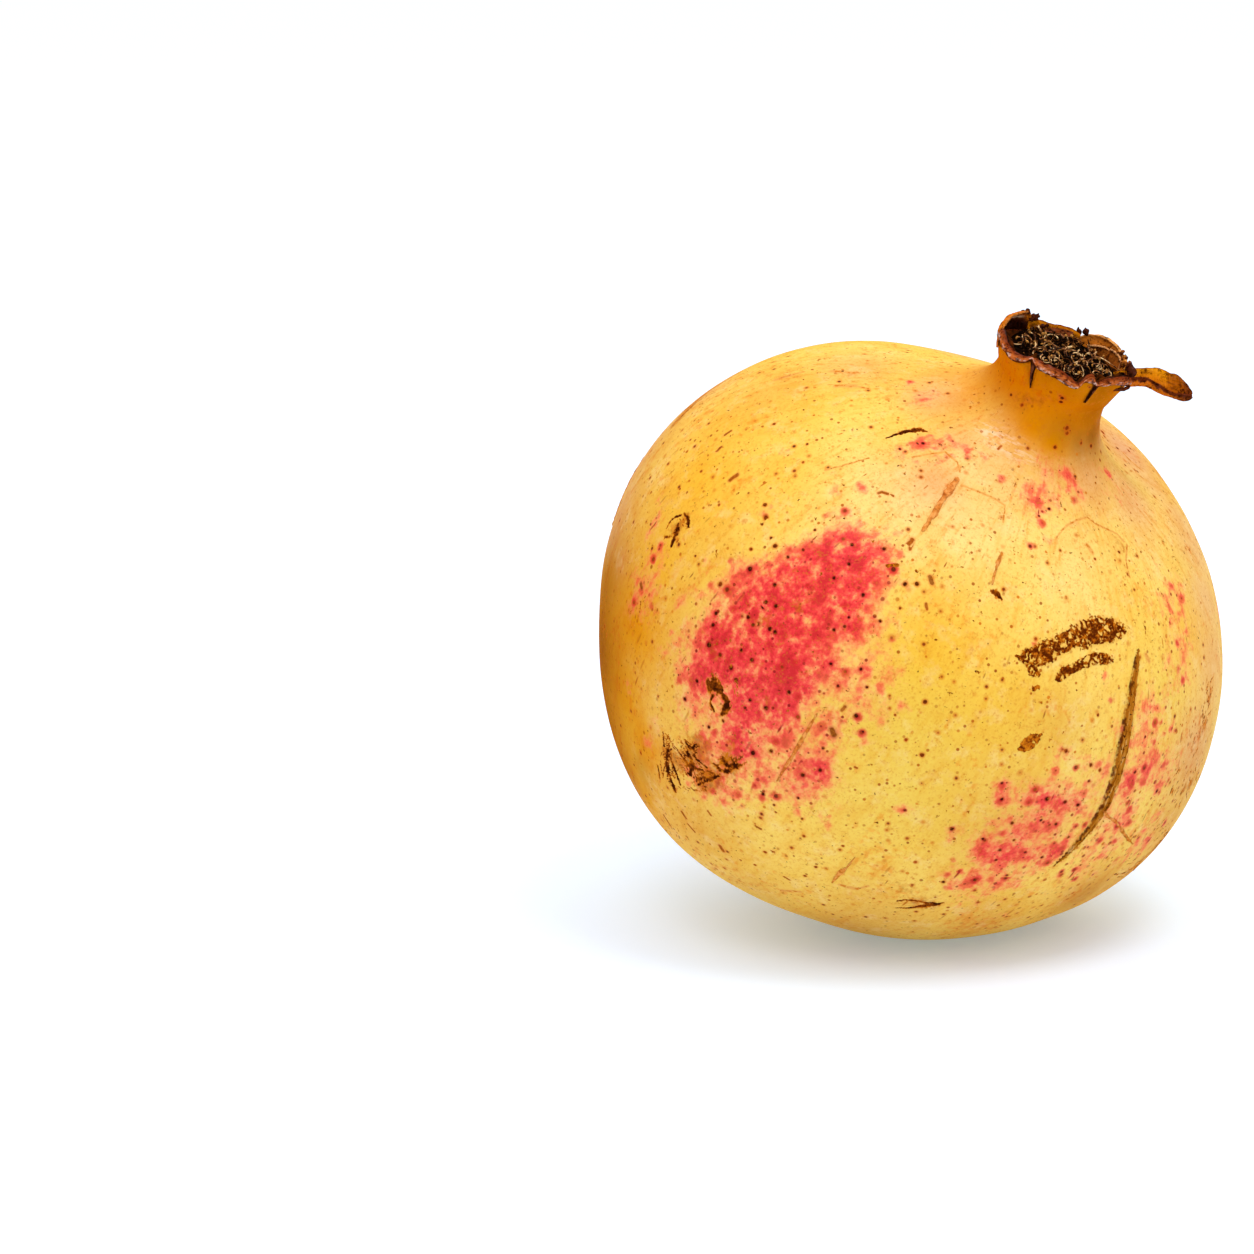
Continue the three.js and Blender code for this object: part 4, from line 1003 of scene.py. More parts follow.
def lay_flush(f):
    """The red flush: a soft glow, then clouds, deeper round the pores. Gives how red each place is."""
    near_pore = f.fade(f.pores.outputs["Distance"], 0.05, 0.52, 1, 0)
    halo = f.times(near_pore, f.fade(f.pore_parts[2], 0.2, 0.8), f.fade(f.flush, 0.05, 0.4),
                   f.fade(f.flush, 0.7, 1, 1, 0.4), 0.75)
    cloud, mottle = f.noise(2.6, 4, 0.6), f.noise(0.75, 3, 0.6)
    blotch = f.noise(1.2, 3, 0.6, at=f.warped(1.5, 0.5))
    red_over = f.plus(f.times(f.flush, 1.35), f.swing(cloud, 1.7), f.swing(blotch, 1.3), f.swing(mottle, 0.5),
                      f.swing(f.streaks, 0.9), halo, -0.42)
    f.lay(f.fade(f.flush, 0.3, 1.0, 0, 0.5), colour(248, 158, 92))
    depth = f.plus(f.times(red_over, 0.84), f.swing(f.fine, 0.4), f.swing(mottle, 0.6), f.swing(cloud, 0.5))
    red = f.ramp(depth, (0.05, 252, 176, 112), (0.25, 252, 122, 92), (0.5, 248, 74, 70), (0.74, 238, 46, 56),
                 (1.0, 210, 24, 42))
    reach = f.times(f.fade(f.flush, 0.05, 0.3), f.fade(f.flush, 0.45, 0.95, 0.74, 0.97))
    f.lay(f.times(f.fade(red_over, -0.16, 0.85), reach), red)
    return red_over


def lay_stains(f):
    """Brown stains. Gives where they are."""
    ragged = f.plus(f.noted("stain"), f.swing(f.noise(0.9, 4, 0.65), 1.0))
    stained = f.fade(ragged, 0.1, 0.6, 0, 0.7)
    f.lay(stained, f.ramp(f.noise(0.8, 3), (0.4, 214, 112, 24), (0.65, 156, 66, 8)))
    return stained


def lay_pores(f, in_red):
    """Fine pores everywhere, short dashes along the fruit, and larger pores. Gives the large ones."""
    tiny = f.cells(TINY_PORE_GAP)
    tiny_parts = f.parts_of(tiny.outputs["Color"])
    tiny_size = f.times(f.fade(tiny_parts[0], 0, 1, 0.06, 0.29), f.fade(f.speckled, 0, 1, 0.9, 1.3))
    tiny_dot = f.fade(f.over(tiny.outputs["Distance"], tiny_size), 0.6, 1.15, 1, 0)
    brown = f.mix(tiny_parts[2], colour(216, 116, 12), colour(150, 62, 4))
    tiny_shade = f.mix(in_red, brown, colour(140, 18, 10))
    f.lay(f.times(tiny_dot, f.fade(tiny_parts[1], 0, 1, 0.4, 0.95)), tiny_shade)

    unevenly = f.vector("ADD", f.streak_place, f.vector("SCALE", f.warped(0.8, 0.2), Scale=0.35))
    dashes = f.cells(DASH_GAP, at=unevenly)
    dash_parts = f.parts_of(dashes.outputs["Color"])
    dash_size = f.fade(f.plus(dash_parts[0], f.times(f.speckled, 0.6)), 0.5, 1.15, 0.0001, 0.19)
    dash = f.fade(f.over(dashes.outputs["Distance"], dash_size), 0.5, 1.2, 1, 0)
    brown = f.mix(dash_parts[1], colour(214, 118, 14), colour(146, 62, 6))
    dash_shade = f.mix(in_red, brown, colour(150, 20, 12))
    f.lay(f.times(dash, f.fade(dash_parts[2], 0, 1, 0.35, 0.95), f.body), dash_shade)

    in_flush = f.times(f.fade(f.flush, 0.05, 0.4), f.fade(f.pore_parts[2], 0.3, 0.8))
    large_size = f.fade(f.plus(f.pore_parts[0], f.times(f.speckled, 0.5)), 0.4, 0.75, 0.0001, 0.12)
    large_over = f.over(f.pores.outputs["Distance"], f.plus(large_size, f.times(in_flush, 0.06)))
    large_dot = f.fade(large_over, 0.55, 1.1, 1, 0)
    f.lay(f.fade(large_over, 0.8, 2.4, 0.7, 0), f.mix(in_red, colour(214, 112, 22), colour(206, 40, 30)))
    f.lay(f.times(large_dot, 0.95), f.mix(f.pore_parts[1], colour(166, 70, 8), colour(92, 28, 4)))
    return large_dot


def lay_spots(f, in_red):
    """The marked dots, dashes and thin lines, each drawn from its start to its end. Gives where they are."""
    start, end = f.noted("spot_start", "Vector"), f.noted("spot_end", "Vector")
    reach, off = f.vector("SUBTRACT", end, start), f.vector("SUBTRACT", f.warped(0.6, 0.14), start)
    length = f.vector("DOT_PRODUCT", reach, reach, "Value")
    along = f.maths("DIVIDE", f.vector("DOT_PRODUCT", off, reach, "Value"), length, clamp=True)
    away = f.vector("SUBTRACT", off, f.vector("SCALE", reach, Scale=along))
    over = f.over(f.vector("LENGTH", away, out="Value"), f.noted("spot_half"))
    is_tan = f.noted("spot_tan")
    ring = f.mix(in_red, colour(210, 92, 18), colour(168, 26, 18))
    f.lay(f.fade(over, 0.8, 2.2, 0.75, 0), f.mix(is_tan, ring, colour(232, 160, 76)))
    broken = f.fade(f.plus(f.noise(0.9, 3), f.times(is_tan, -0.1)), 0.36, 0.5, 0.15, 1)
    spot = f.times(f.fade(over, 0.7, 1.15, 1, 0), f.mix(is_tan, (1, 1, 1, 1), broken))
    darker = f.fade(f.plus(f.noise(5), f.times(in_red, 0.2)), 0.3, 0.7)
    brown = f.mix(darker, colour(158, 62, 8), colour(58, 14, 4))
    f.lay(f.times(spot, f.fade(is_tan, 0, 1, 0.97, 0.75)), f.mix(is_tan, brown, colour(206, 108, 20)))
    return spot


def lay_cork(f):
    """Corky nets, whose threads run round cells, and crumbly patches. Gives where they are."""
    curly = f.warped(1.0, 0.34, at=f.warped(0.45, 0.12))
    thread = f.cells(THREAD_GAP, at=curly, feature="DISTANCE_TO_EDGE").outputs["Distance"]
    clump = f.fade(f.noise(1.3, 3, 0.6), 0.42, 0.56)
    net = f.noted("net")
    crumbly = f.plus(f.swing(f.noise(1.0, 4, 0.65), 2.6), f.swing(f.noise(0.4, 3, 0.6), 1.2))
    netted = f.times(f.fade(f.plus(net, crumbly), 0.4, 0.66), f.most(f.fade(thread, 0.04, 0.24, 1, 0), clump))
    patched = f.fade(f.plus(f.noted("patch"), f.times(crumbly, 0.9)), 0.35, 0.6, 0, 0.75)
    cork = f.most(netted, patched)
    depth = f.plus(cork, f.swing(f.noise(0.7, 4, 0.65), 2.6), f.times(net, 0.1), -0.08)
    corked = f.fade(cork, 0.25, 0.6)
    f.lay(f.times(f.fade(net, 0.1, 0.6), 0.4), colour(232, 166, 64))
    shade = f.ramp(depth, (0.3, 216, 132, 24), (0.6, 190, 98, 12), (0.84, 136, 58, 4), (1.0, 88, 30, 2))
    f.lay(corked, shade)
    return corked


def lay_cracks(f):
    """Dark cracks and scratches. Gives where they are."""
    ink = f.plus(f.noted("ink"), f.swing(f.noise(0.3, 3), 0.9), f.swing(f.noise(0.9, 3), 0.7))
    inked = f.fade(ink, 0.2, 0.7)
    f.lay(f.fade(ink, 0.0, 0.3, 0, 0.5), colour(214, 122, 30))
    depth = f.plus(ink, f.swing(f.noise(1.3, 3), 2.2), -0.12)
    f.lay(inked, f.ramp(depth, (0.2, 202, 110, 14), (0.48, 150, 70, 8), (0.78, 100, 40, 4), (1.0, 58, 18, 1)))
    return inked


def lay_split(f):
    """The healed split, with fibres along it, and the tan scars. Gives where they are, and the fibres."""
    run = f.noted("split_place", "Vector")
    is_split = f.add("ShaderNodeSeparateXYZ", {0: run}).outputs[2]
    is_scar = f.maths("SUBTRACT", 1.0, is_split)
    over_split = f.plus(f.noted("split_over"), f.swing(f.noise(0.5, 3), 0.7),
                        f.times(f.swing(f.noise(1.6, 3), 2.2), is_scar))
    lines = f.vector("MULTIPLY", run, (0.35, 2.6, 7))
    fibre = f.add("ShaderNodeTexNoise", {"Vector": lines, "Scale": 1.0, "Detail": 4.0}).outputs["Fac"]
    split_shade = f.ramp(fibre, (0.34, 112, 54, 4), (0.42, 166, 92, 12), (0.56, 192, 118, 30),
                         (0.68, 216, 160, 88))
    split_shade = f.mix(f.fade(f.noise(0.5, 3, 0.6), 0.58, 0.63), split_shade, colour(58, 22, 2))
    mottle = f.noise(0.9, 4, 0.65)
    scar_shade = f.ramp(mottle, (0.36, 160, 74, 14), (0.48, 212, 112, 32), (0.62, 238, 158, 82))
    inside = f.fade(over_split, 0.85, 1.1, 1, 0)
    f.lay(f.times(inside, f.fade(is_split, 0, 1, 0.85, 1)), f.mix(is_split, scar_shade, split_shade))
    rim = f.times(f.fade(over_split, 0.55, 0.9), f.fade(over_split, 1.0, 1.35, 1, 0),
                  f.fade(is_split, 0, 1, 0.35, 1), f.fade(f.noise(1.3, 3), 0.42, 0.58, 0.15, 0.95))
    f.lay(rim, f.mix(is_split, colour(176, 88, 12), colour(90, 38, 2)))
    return inside, fibre


def lay_folds(f):
    """The dark folds of the neck, with a painted highlight along their middles, and painted shade inside its
    cup. Gives where the folds are.
    """
    fold = f.plus(f.noted("fold"), f.swing(f.noise(0.6, 3), 0.6))
    folded = f.fade(fold, 0.2, 0.6)
    # The folds' own dark tissue, with a pale painted highlight at their middle
    f.lay(folded, f.ramp(fold, (0.25, 116, 50, 8), (0.5, 46, 14, 3), (0.88, 28, 8, 2), (1.0, 104, 54, 34)))
    # Painted shade: the inside of the cup, near black
    f.lay(f.noted("in_cup"), f.ramp(f.noise(1.2, 4), (0.35, 16, 6, 1), (0.65, 90, 40, 8)))
    return folded


def rind_finish():
    """The waxy skin. Wax and gloss are left out where a mark is dull or the ground is deep orange."""
    f = RindFinish()
    lay_ground(f)
    red_over = lay_flush(f)
    in_red = f.fade(red_over, 0.1, 0.4)
    stained = lay_stains(f)
    large_dot = lay_pores(f, in_red)
    spot = lay_spots(f, in_red)
    corked = lay_cork(f)
    inked = lay_cracks(f)
    inside, fibre = lay_split(f)
    folded = lay_folds(f)
    dull = f.most(corked, inked, inside, folded, stained)
    roughness = f.plus(f.fade(f.noise(3, 3), 0.3, 0.7, 0.3, 0.44), f.times(dull, 0.3))
    wax = f.times(f.fade(dull, 0, 1, 0.14, 0.01), f.fade(spot, 0, 1, 1, 0.1),
                  f.fade(f.pale_ground, 0, 1, 0.15, 1))
    f.relief((f.noise(1.1, 3, 0.55), 0.035), (f.fine, 0.012), (f.most(large_dot, spot), -0.05), (corked, 0.1),
             (f.times(fibre, inside), 0.12))
    return f.set(Base_Color=f.base, Roughness=roughness, Coat_Weight=wax)


rind.data.materials.append(rind_finish())
rind.data.shade_smooth()
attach(rind, "root")
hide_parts("fruit")


# The crown

# LIP_DARK is the lip's dark streaks, and also its painted shade along the edges and underneath
LIP_TAN, LIP_DARK = (186, 96, 40), (84, 26, 6)


def turned_section(out, up, turn, roll, a, b):
    """A point of the lip's section: a along the section, which is rolled out by some degrees, b across it."""
    c, s = math.cos(math.radians(roll)), math.sin(math.radians(roll))
    return in_crown(out + a * c + b * s, up - a * s + b * c, turn)


def ripple(*place):
    """Soft noise between about -1 and 1 at a place given as three numbers."""
    return noise.noise(Vector(place))


def paint(piece, tints, glints=None):
    """Writes a colour, and how much painted highlight lies on it, for each corner of a piece."""
    note(piece, "tint", tints)
    note(piece, "glint", np.zeros(len(tints)) if glints is None else glints)


def blend(first, second, amount):
    """A colour some of the way from one to another."""
    return tuple(a + (b - a) * float(amount) for a, b in zip(first, second))


def make_lip():
    """A ring moved onto the rim, flattened, rolled out and pinched as the lip is."""
    ring = add_primitive(bpy.ops.mesh.primitive_torus_add, "lip", major_segments=620, minor_segments=28,
                         major_radius=1, minor_radius=0.25)
    placed, tints, glints = [], [], []
    for x, y, z in own_places(ring):
        turn = math.degrees(math.atan2(y, x)) % 360
        out, up, wide, thick, roll = lip_at(turn)
        section = math.atan2(z, math.hypot(x, y) - 1)
        outer, upper = math.cos(section), math.sin(section)
        lump, fine = ripple(turn / 8, 2.5 * outer, 0), ripple(turn / 2.4, 3 * outer, 3 * upper)
        crease = abs(ripple(turn / 3, 4 * outer, 9)) + 0.5 * ripple(turn / 1.1, 5 * outer, 1)
        size = 1 + 0.2 * lump + 0.12 * fine + 0.14 * crease
        furrow = 0.25 * (upper > 0) * math.exp(-(outer / 0.2) ** 2)
        a = wide * 1.08 * size * outer
        b = thick * 0.62 * (size * upper - 0.9 * max(0.0, outer) ** 2 - furrow)
        placed.append(turned_section(out, up, turn, roll, a, b))
        streak = ripple(turn / 5, outer * 5, 7) + 0.5 * ripple(turn / 1.2, outer * 9, 3)
        shade = blend(LIP_TAN, LIP_DARK, step(streak, 0.0, 0.45))
        shade = blend(shade, LIP_DARK, 0.6 * step(-outer, -0.3, 0.5))
        # Painted shade: darker along the lip's inner and outer edges and on its underside
        for darkness, amount in ((0.5, step(-outer, 0.72, 0.95)), (0.35, step(-upper, -0.1, 0.35)),
                                 (0.7, step(outer, 0.84, 0.97))):
            shade = blend(shade, blend((0, 0, 0), LIP_DARK, darkness), amount)
        tints.append(colour(*shade)[:3])
        # Painted highlight: pale glints along the lip's outer, upper part
        glints.append(step(outer, 0.1, 0.6) * step(upper, -0.1, 0.3) * step(lump + 0.6 * fine, -0.1, 0.35))
    move_to(ring, np.array(placed))
    paint(ring, tints, glints)
    return ring


# The dry lobes round the rim. Each row is degrees round, then out and up in millimetres at four places from
# the foot to the edge
HOOD = [
    (118, 9.3, -1.5, 9.4, 0.0, 9.4, 0.6, 9.4, 0.9), (121.5, 9.3, -1.5, 9.5, 0.6, 9.6, 1.6, 9.5, 2.3),
    (126, 9.3, -1.5, 9.7, 1.0, 9.8, 2.4, 9.4, 2.9), (134, 9.3, -1.5, 9.9, 1.2, 10.0, 2.6, 9.3, 3.05),
    (142, 9.3, -1.5, 10.0, 1.2, 10.1, 2.45, 9.3, 2.85), (150, 9.3, -1.5, 10.1, 1.0, 10.15, 2.1, 9.4, 2.5),
    (158, 9.4, -1.5, 10.15, 0.7, 10.2, 1.55, 9.5, 1.95), (165, 9.5, -1.5, 10.15, 0.4, 10.2, 1.1, 9.6, 1.4),
    (172, 9.6, -1.5, 10.1, 0.1, 10.15, 0.7, 9.7, 1.0), (180, 9.7, -1.5, 10.0, -0.3, 10.0, 0.2, 9.8, 0.4),
]
BACK = [
    (70, 9.25, -1.5, 9.5, 0.8, 9.5, 1.4, 9.4, 1.9), (78, 9.25, -1.5, 9.5, 0.8, 9.5, 1.5, 9.5, 2.1),
    (88, 9.25, -1.5, 9.5, 0.8, 9.5, 1.5, 9.5, 1.95), (98, 9.25, -1.5, 9.5, 0.7, 9.5, 1.3, 9.5, 1.75),
    (112, 9.25, -1.5, 9.5, 0.7, 9.5, 1.4, 9.5, 1.95), (123, 9.25, -1.5, 9.5, 0.7, 9.5, 1.2, 9.5, 1.7),
]
ARCH = [
    (6, 9.25, -1.5, 9.6, 0.6, 9.7, 1.2, 9.5, 1.6), (18, 9.35, -1.5, 9.8, 0.8, 10.0, 1.6, 9.8, 2.1),
    (30, 9.35, -1.5, 9.9, 0.9, 10.1, 2.2, 9.6, 2.75), (44, 9.35, -1.5, 9.8, 0.9, 10.1, 2.3, 9.5, 3.05),
    (56, 9.35, -1.5, 9.7, 0.8, 9.9, 2.0, 9.6, 2.75), (66, 9.25, -1.5, 9.6, 0.6, 9.7, 1.4, 9.6, 2.0),
    (71, 9.25, -1.5, 9.5, 0.3, 9.5, 0.8, 9.5, 1.3),
]
# A second thin layer inside the arch, folded towards the middle
INNER_ARCH = [
    (14, 9.2, -0.5, 9.3, 0.7, 9.2, 1.6, 8.7, 1.9), (26, 9.2, -0.5, 9.3, 0.8, 9.3, 1.9, 8.5, 2.3),
    (38, 9.2, -0.5, 9.2, 0.7, 9.2, 1.7, 8.4, 2.1), (50, 9.2, -0.5, 9.2, 0.5, 9.0, 1.3, 8.3, 1.5),
    (60, 9.2, -0.5, 9.1, 0.2, 8.9, 0.7, 8.4, 0.8),
]
FLAP = [
    (77, 9.3, 0.9, 8.9, 1.5, 8.1, 1.2, 7.4, 0.5), (84, 9.3, 0.8, 8.9, 1.5, 8.0, 1.2, 7.2, 0.4),
    (92, 9.3, 0.7, 8.9, 1.3, 8.0, 1.0, 7.2, 0.4), (100, 9.3, 0.5, 8.9, 1.0, 8.1, 0.7, 7.5, 0.4),
    (105, 9.3, 0.3, 9.0, 0.6, 8.5, 0.5, 8.0, 0.4),
]
# Each lobe's edge colour: a painted highlight along the rims of the hood, the arch, the inner arch and the
# flap, and a dark margin on the back
LOBES = {
    # The hood's inside is painted brighter at its first end, where light falls on it
    "hood": dict(rows=HOOD, outer=(206, 112, 20), inner=(176, 84, 24), edge=(206, 122, 50), seed=2.0,
                 ragged=0.05, lit_first_inner=(214, 116, 14), ribs=True, thick=0.34),
    "back": dict(rows=BACK, outer=(150, 84, 30), inner=(240, 140, 14), edge=(130, 60, 10), seed=5.0),
    "arch": dict(rows=ARCH, outer=(222, 132, 40), inner=(206, 118, 34), edge=(238, 166, 92), seed=4.0,
                 ragged=0.1),
    "inner_arch": dict(rows=INNER_ARCH, outer=(120, 58, 20), inner=(170, 92, 30), edge=(226, 160, 104),
                       seed=9.0, ragged=0.35, thick=0.3),
    "flap": dict(rows=FLAP, outer=(110, 52, 20), inner=(110, 52, 20), edge=(200, 140, 98), seed=6.0,
                 ragged=0.4, ribs=True),
}
# Painted highlight along the ribs, and painted shade inside the lobe towards its foot
RIB_HIGHLIGHT, INNER_FOOT_SHADE = (255, 214, 176), (44, 14, 4)


def thicken(sheet, thick, tints):
    """Gives a sheet two sides, and each side its own colour."""
    middle, facing_way, count = places_of(sheet), normals_of(sheet), len(sheet.data.vertices)
    finish_with(sheet, "SOLIDIFY", thickness=thick * MM, offset=0.0, use_rim=True)
    which = np.arange(len(sheet.data.vertices)) % count
    outer = ((places_of(sheet) - middle[which]) * facing_way[which]).sum(1) > 0
    paint(sheet, [tints[i][0 if out else 1] for i, out in zip(which, outer)])
    finish_with(sheet, "SUBSURF", levels=1, render_levels=1)


def make_lobe(name, rows, outer, inner, edge, seed, ragged=0.2, thick=0.42, lit_first_inner=None, ribs=False):
    """A thin dry lobe that follows the rim, torn along its edge, and ribbed along it if it is told to be. Its
    colours hold painted light: a brighter inside where it is lit, painted highlights on the ribs and along
    the edge, and painted shade inside towards its foot.
    """
    sheet = add_primitive(bpy.ops.mesh.primitive_grid_add, name, x_subdivisions=56, y_subdivisions=22, size=2)
    placed, tints = [], []
    for x, y, _ in own_places(sheet):
        turn = rows[0][0] + (rows[-1][0] - rows[0][0]) * (x + 1) / 2
        torn = 1 - ragged * (0.5 + ripple(turn / 3.5, seed, 0) * (0.5 + 0.5 * ripple(turn, seed, 4)))
        at = (y + 1) / 2 * torn
        section = through(rows, turn)
        out, up = through([(i / 3, section[2 * i], section[2 * i + 1]) for i in range(4)], at)
        place = in_crown(out, up, turn)
        wave = noise.noise(Vector(place) / 1.6 + Vector((seed, 0, 0))) * 0.3
        wave += noise.noise(Vector(place) / 0.6) * 0.1
        push = wave * (0.2 + 0.8 * at)
        near_edge = step(min(1 - y, 6 * (1 - abs(x))), 0.02, 0.2)
        # Painted light: the inside is brighter at the lobe's first end, where light falls on it
        inside = blend(lit_first_inner or inner, inner, step(x, -0.78, -0.66))
        if ribs:
            rib = max(0.0, math.sin(11 * y + 1.5 * x + seed)) ** 4 * step(y, -0.4, 0.1)
            push -= 0.16 * rib
            # Painted shade inside the lobe towards its foot, then painted highlights along the ribs
            inside = blend(inside, INNER_FOOT_SHADE, step(-y, -0.25, 0.4))
            inside = blend(inside, RIB_HIGHLIGHT, rib * step(x, -0.75, -0.55))
        placed.append(place + outwards_at(turn) * push)
        # Near its edge each side blends to the edge colour: mostly a painted highlight, on the back a dark
        # margin
        tints.append([colour(*blend(edge, side, near_edge))[:3] for side in (outer, inside)])
    move_to(sheet, np.array(placed))
    thicken(sheet, thick, tints)
    return sheet


# The long lobe that is left on the right, folded along its length: pixels across, then pixels down to its far
# edge, to its near edge and to its fold
STRAP = [
    (1112, 372, 379, 383), (1121, 370.5, 377.5, 383.5), (1130, 368.5, 377.5, 385), (1140, 368, 377, 384.6),
    (1148, 367.8, 378.5, 386), (1157, 367.5, 383, 390.3), (1164, 369.6, 388, 393.7),
    (1170, 373, 391.7, 395.6), (1176, 374, 393.3, 397.6), (1182, 378.5, 394, 399.5),
    (1188, 385, 394.5, 399.5), (1192, 392, 395, 397),
]
STRAP_DEPTH = 0.9  # from the fold to each edge, towards and away from the front
# STRAP_MARGIN_AND_SHADE is the strap's dark margins, and also the painted shade along its fold
STRAP_ORANGE, STRAP_MARGIN_AND_SHADE, STRAP_LOWER = (252, 158, 10), (92, 36, 8), (200, 104, 12)
STRAP_AMBER, STRAP_TIP = (160, 78, 0), (96, 40, 8)


def beside_crown(x, y, front):
    """The point that a pixel shows in the upright plane through the crown, moved towards the front."""
    start, way = camera_place(), sight_line(x, y)
    level = np.array([-RIM_ACROSS[1], RIM_ACROSS[0], 0])
    return start + way * (((RIM_MIDDLE - start) @ level - front) / (way @ level))


def make_strap():
    """The long lobe: a sheet laid along the rows of STRAP, folded, and darker towards its tip."""
    sheet = add_primitive(bpy.ops.mesh.primitive_grid_add, "strap", x_subdivisions=90, y_subdivisions=30,
                          size=2)
    rows = [(i / (len(STRAP) - 1), *row) for i, row in enumerate(STRAP)]
    placed, tints = [], []
    for u, v, _ in own_places(sheet):
        x, far, near, fold = through(rows, (u + 1) / 2)
        wave = 0.5 * ripple(u * 4, 0.3, 9)
        section = [(0, far, -STRAP_DEPTH), (0.3, far + 0.45 * (fold - far), -STRAP_DEPTH * 0.9),
                   (0.62, fold - 0.4, -0.1), (0.75, fold - 0.5, 0.5), (1, near + wave, STRAP_DEPTH)]
        down = (v + 1) / 2
        y, front = through(section, down)
        placed.append(beside_crown(x, y, front))
        ragged = 0.06 * ripple(u * 12, v * 2, 1) + 0.04 * ripple(u * 30, v * 4, 1)
        shade = blend(STRAP_ORANGE, STRAP_LOWER, step(down + ragged, 0.0, 0.6))
        # Dark tissue and painted shade in a band along the fold
        shade = blend(shade, STRAP_MARGIN_AND_SHADE, step(down + ragged, 0.84, 0.9))
        shade = blend(shade, STRAP_AMBER, step(u + 2 * ragged, 0.02, 0.34) * 0.85)
        shade = blend(shade, STRAP_TIP, step(u + 3 * ragged, 0.5, 0.9) * 0.9)
        shade = blend(shade, STRAP_MARGIN_AND_SHADE, 1 - step(min(down, 1 - down), 0.0, 0.05))
        under = blend(STRAP_LOWER, STRAP_TIP, step(u + 2 * ragged, 0.1, 0.9) * 0.9)
        # The same band on the other side: dark tissue and painted shade along the fold
        under = blend(under, STRAP_MARGIN_AND_SHADE, step(down + 1.5 * ragged, 0.84, 0.9) * (down > 0.5))
        tints.append([colour(*shade)[:3], colour(*under)[:3]])
    move_to(sheet, np.array(placed))
    towards_camera = normals_of(sheet) @ CAMERA_BACK
    if towards_camera.mean() < 0:
        tints = [pair[::-1] for pair in tints]
    thicken(sheet, 0.4, tints)
    return sheet


# The rolled tip below the lip's right end: pixels, and millimetres towards the front
ROLL = [(1107, 386.5, 6.3), (1112, 385, 6.2), (1119, 384, 5.9), (1126, 383.5, 5.6), (1129.5, 385.5, 5.5),
        (1127, 388.5, 5.7), (1120, 390, 5.9), (1114, 389.2, 6.0), (1110, 388, 5.9)]
# ROLL_UNDER_SHADE is painted shade on the roll's lower arm
ROLL_TAN, ROLL_UNDER_SHADE = (196, 118, 60), (92, 40, 14)


def make_threads(name, paths, thick, sides=1):
    """Many threads in one piece: each is a tube along its own points and thins towards its end."""
    curve = bpy.data.curves.new(name, "CURVE")
    curve.dimensions = "3D"
    curve.bevel_depth = thick * MM
    curve.bevel_resolution = sides
    curve.resolution_u = 2 * sides
    curve.use_fill_caps = True
    for path in paths:
        spline = curve.splines.new("NURBS")
        spline.points.add(len(path) - 1)
        spline.order_u = 4
        spline.use_endpoint_u = True
        for i, (point, place) in enumerate(zip(spline.points, path)):
            point.co = (*(np.array(place) * MM), 1)
            point.radius = 1.15 - 0.5 * i / len(path)
    new_piece(name, curve)
    bpy.ops.object.convert(target="MESH")
    return bpy.context.view_layer.objects.active


def make_roll():
    """The tip of one lobe, rolled up under the lip, with painted shade on its lower arm."""
    roll = make_threads("rolled_tip", [[beside_crown(*point) for point in ROLL]], 0.36, 4)
    own = places_of(roll)
    _, pixel_down = pixels_of(own)
    dents = lumps_at(own, 0.5)
    move_to(roll, own + normals_of(roll) * (0.1 * dents)[:, None])
    # Painted shade: the lower arm, under the upper one and the lip, is darker
    dark = step(pixel_down + 1.5 * dents, 383.5, 385.5)
    paint(roll, [colour(*blend(ROLL_TAN, ROLL_UNDER_SHADE, amount))[:3] for amount in dark])
    return roll


def join_all(pieces, name):
    """Joins several pieces into one."""
    activate(pieces[0])
    for piece in pieces:
        piece.select_set(True)
    bpy.ops.object.join()
    pieces[0].name = name
    return pieces[0]


# Bits of dead tissue that cling to the rim: out, up, degrees round, size in millimetres and how pointed
CRUMBS = [
    (9.5, 2.15, 118, 0.55, 0), (9.5, 2.45, 115, 0.36, 0), (9.5, 1.75, 121, 0.4, 0), (9.5, 2.0, 73, 0.42, 0.4),
    (9.5, 2.3, 67, 0.5, 0.3), (10.1, 2.3, 347, 0.68, 0.8), (10.2, 1.7, 354, 0.55, 0), (9.9, 1.8, 2, 0.5, 0.3),
    (9.8, 1.5, 8, 0.42, 0), (8.9, 1.1, 108, 0.4, 0), (8.7, 0.9, 112, 0.35, 0), (9.0, 1.4, 104, 0.3, 0),
    (9.6, 2.95, 128, 0.42, 0), (9.7, 2.8, 133, 0.3, 0),
]
BEADS = 34
CRUMB_SHADE, BEAD_SHADES = (74, 32, 16), ((196, 122, 44), (150, 84, 30), (92, 46, 18))


def make_crumb(place, size, pointed, shade, seed):
    """One lumpy crumb of dead tissue."""
    crumb = add_primitive(bpy.ops.mesh.primitive_ico_sphere_add, "crumb", subdivisions=3, radius=size * MM)
    own = places_of(crumb)
    dent = np.array([1 + 0.5 * noise.noise(Vector(p / size * 1.1) + Vector((seed * 7, 0, 0))) for p in own])
    taper = 1 - pointed * np.clip(own[:, 2:] / size, -0.2, 1)
    stretch = np.hstack([taper, 0.7 * taper, 1 + pointed * np.ones_like(taper)])
    move_to(crumb, own * dent[:, None] * stretch + place)
    paint(crumb, np.tile(colour(*shade)[:3], (len(own), 1)))
    return crumb


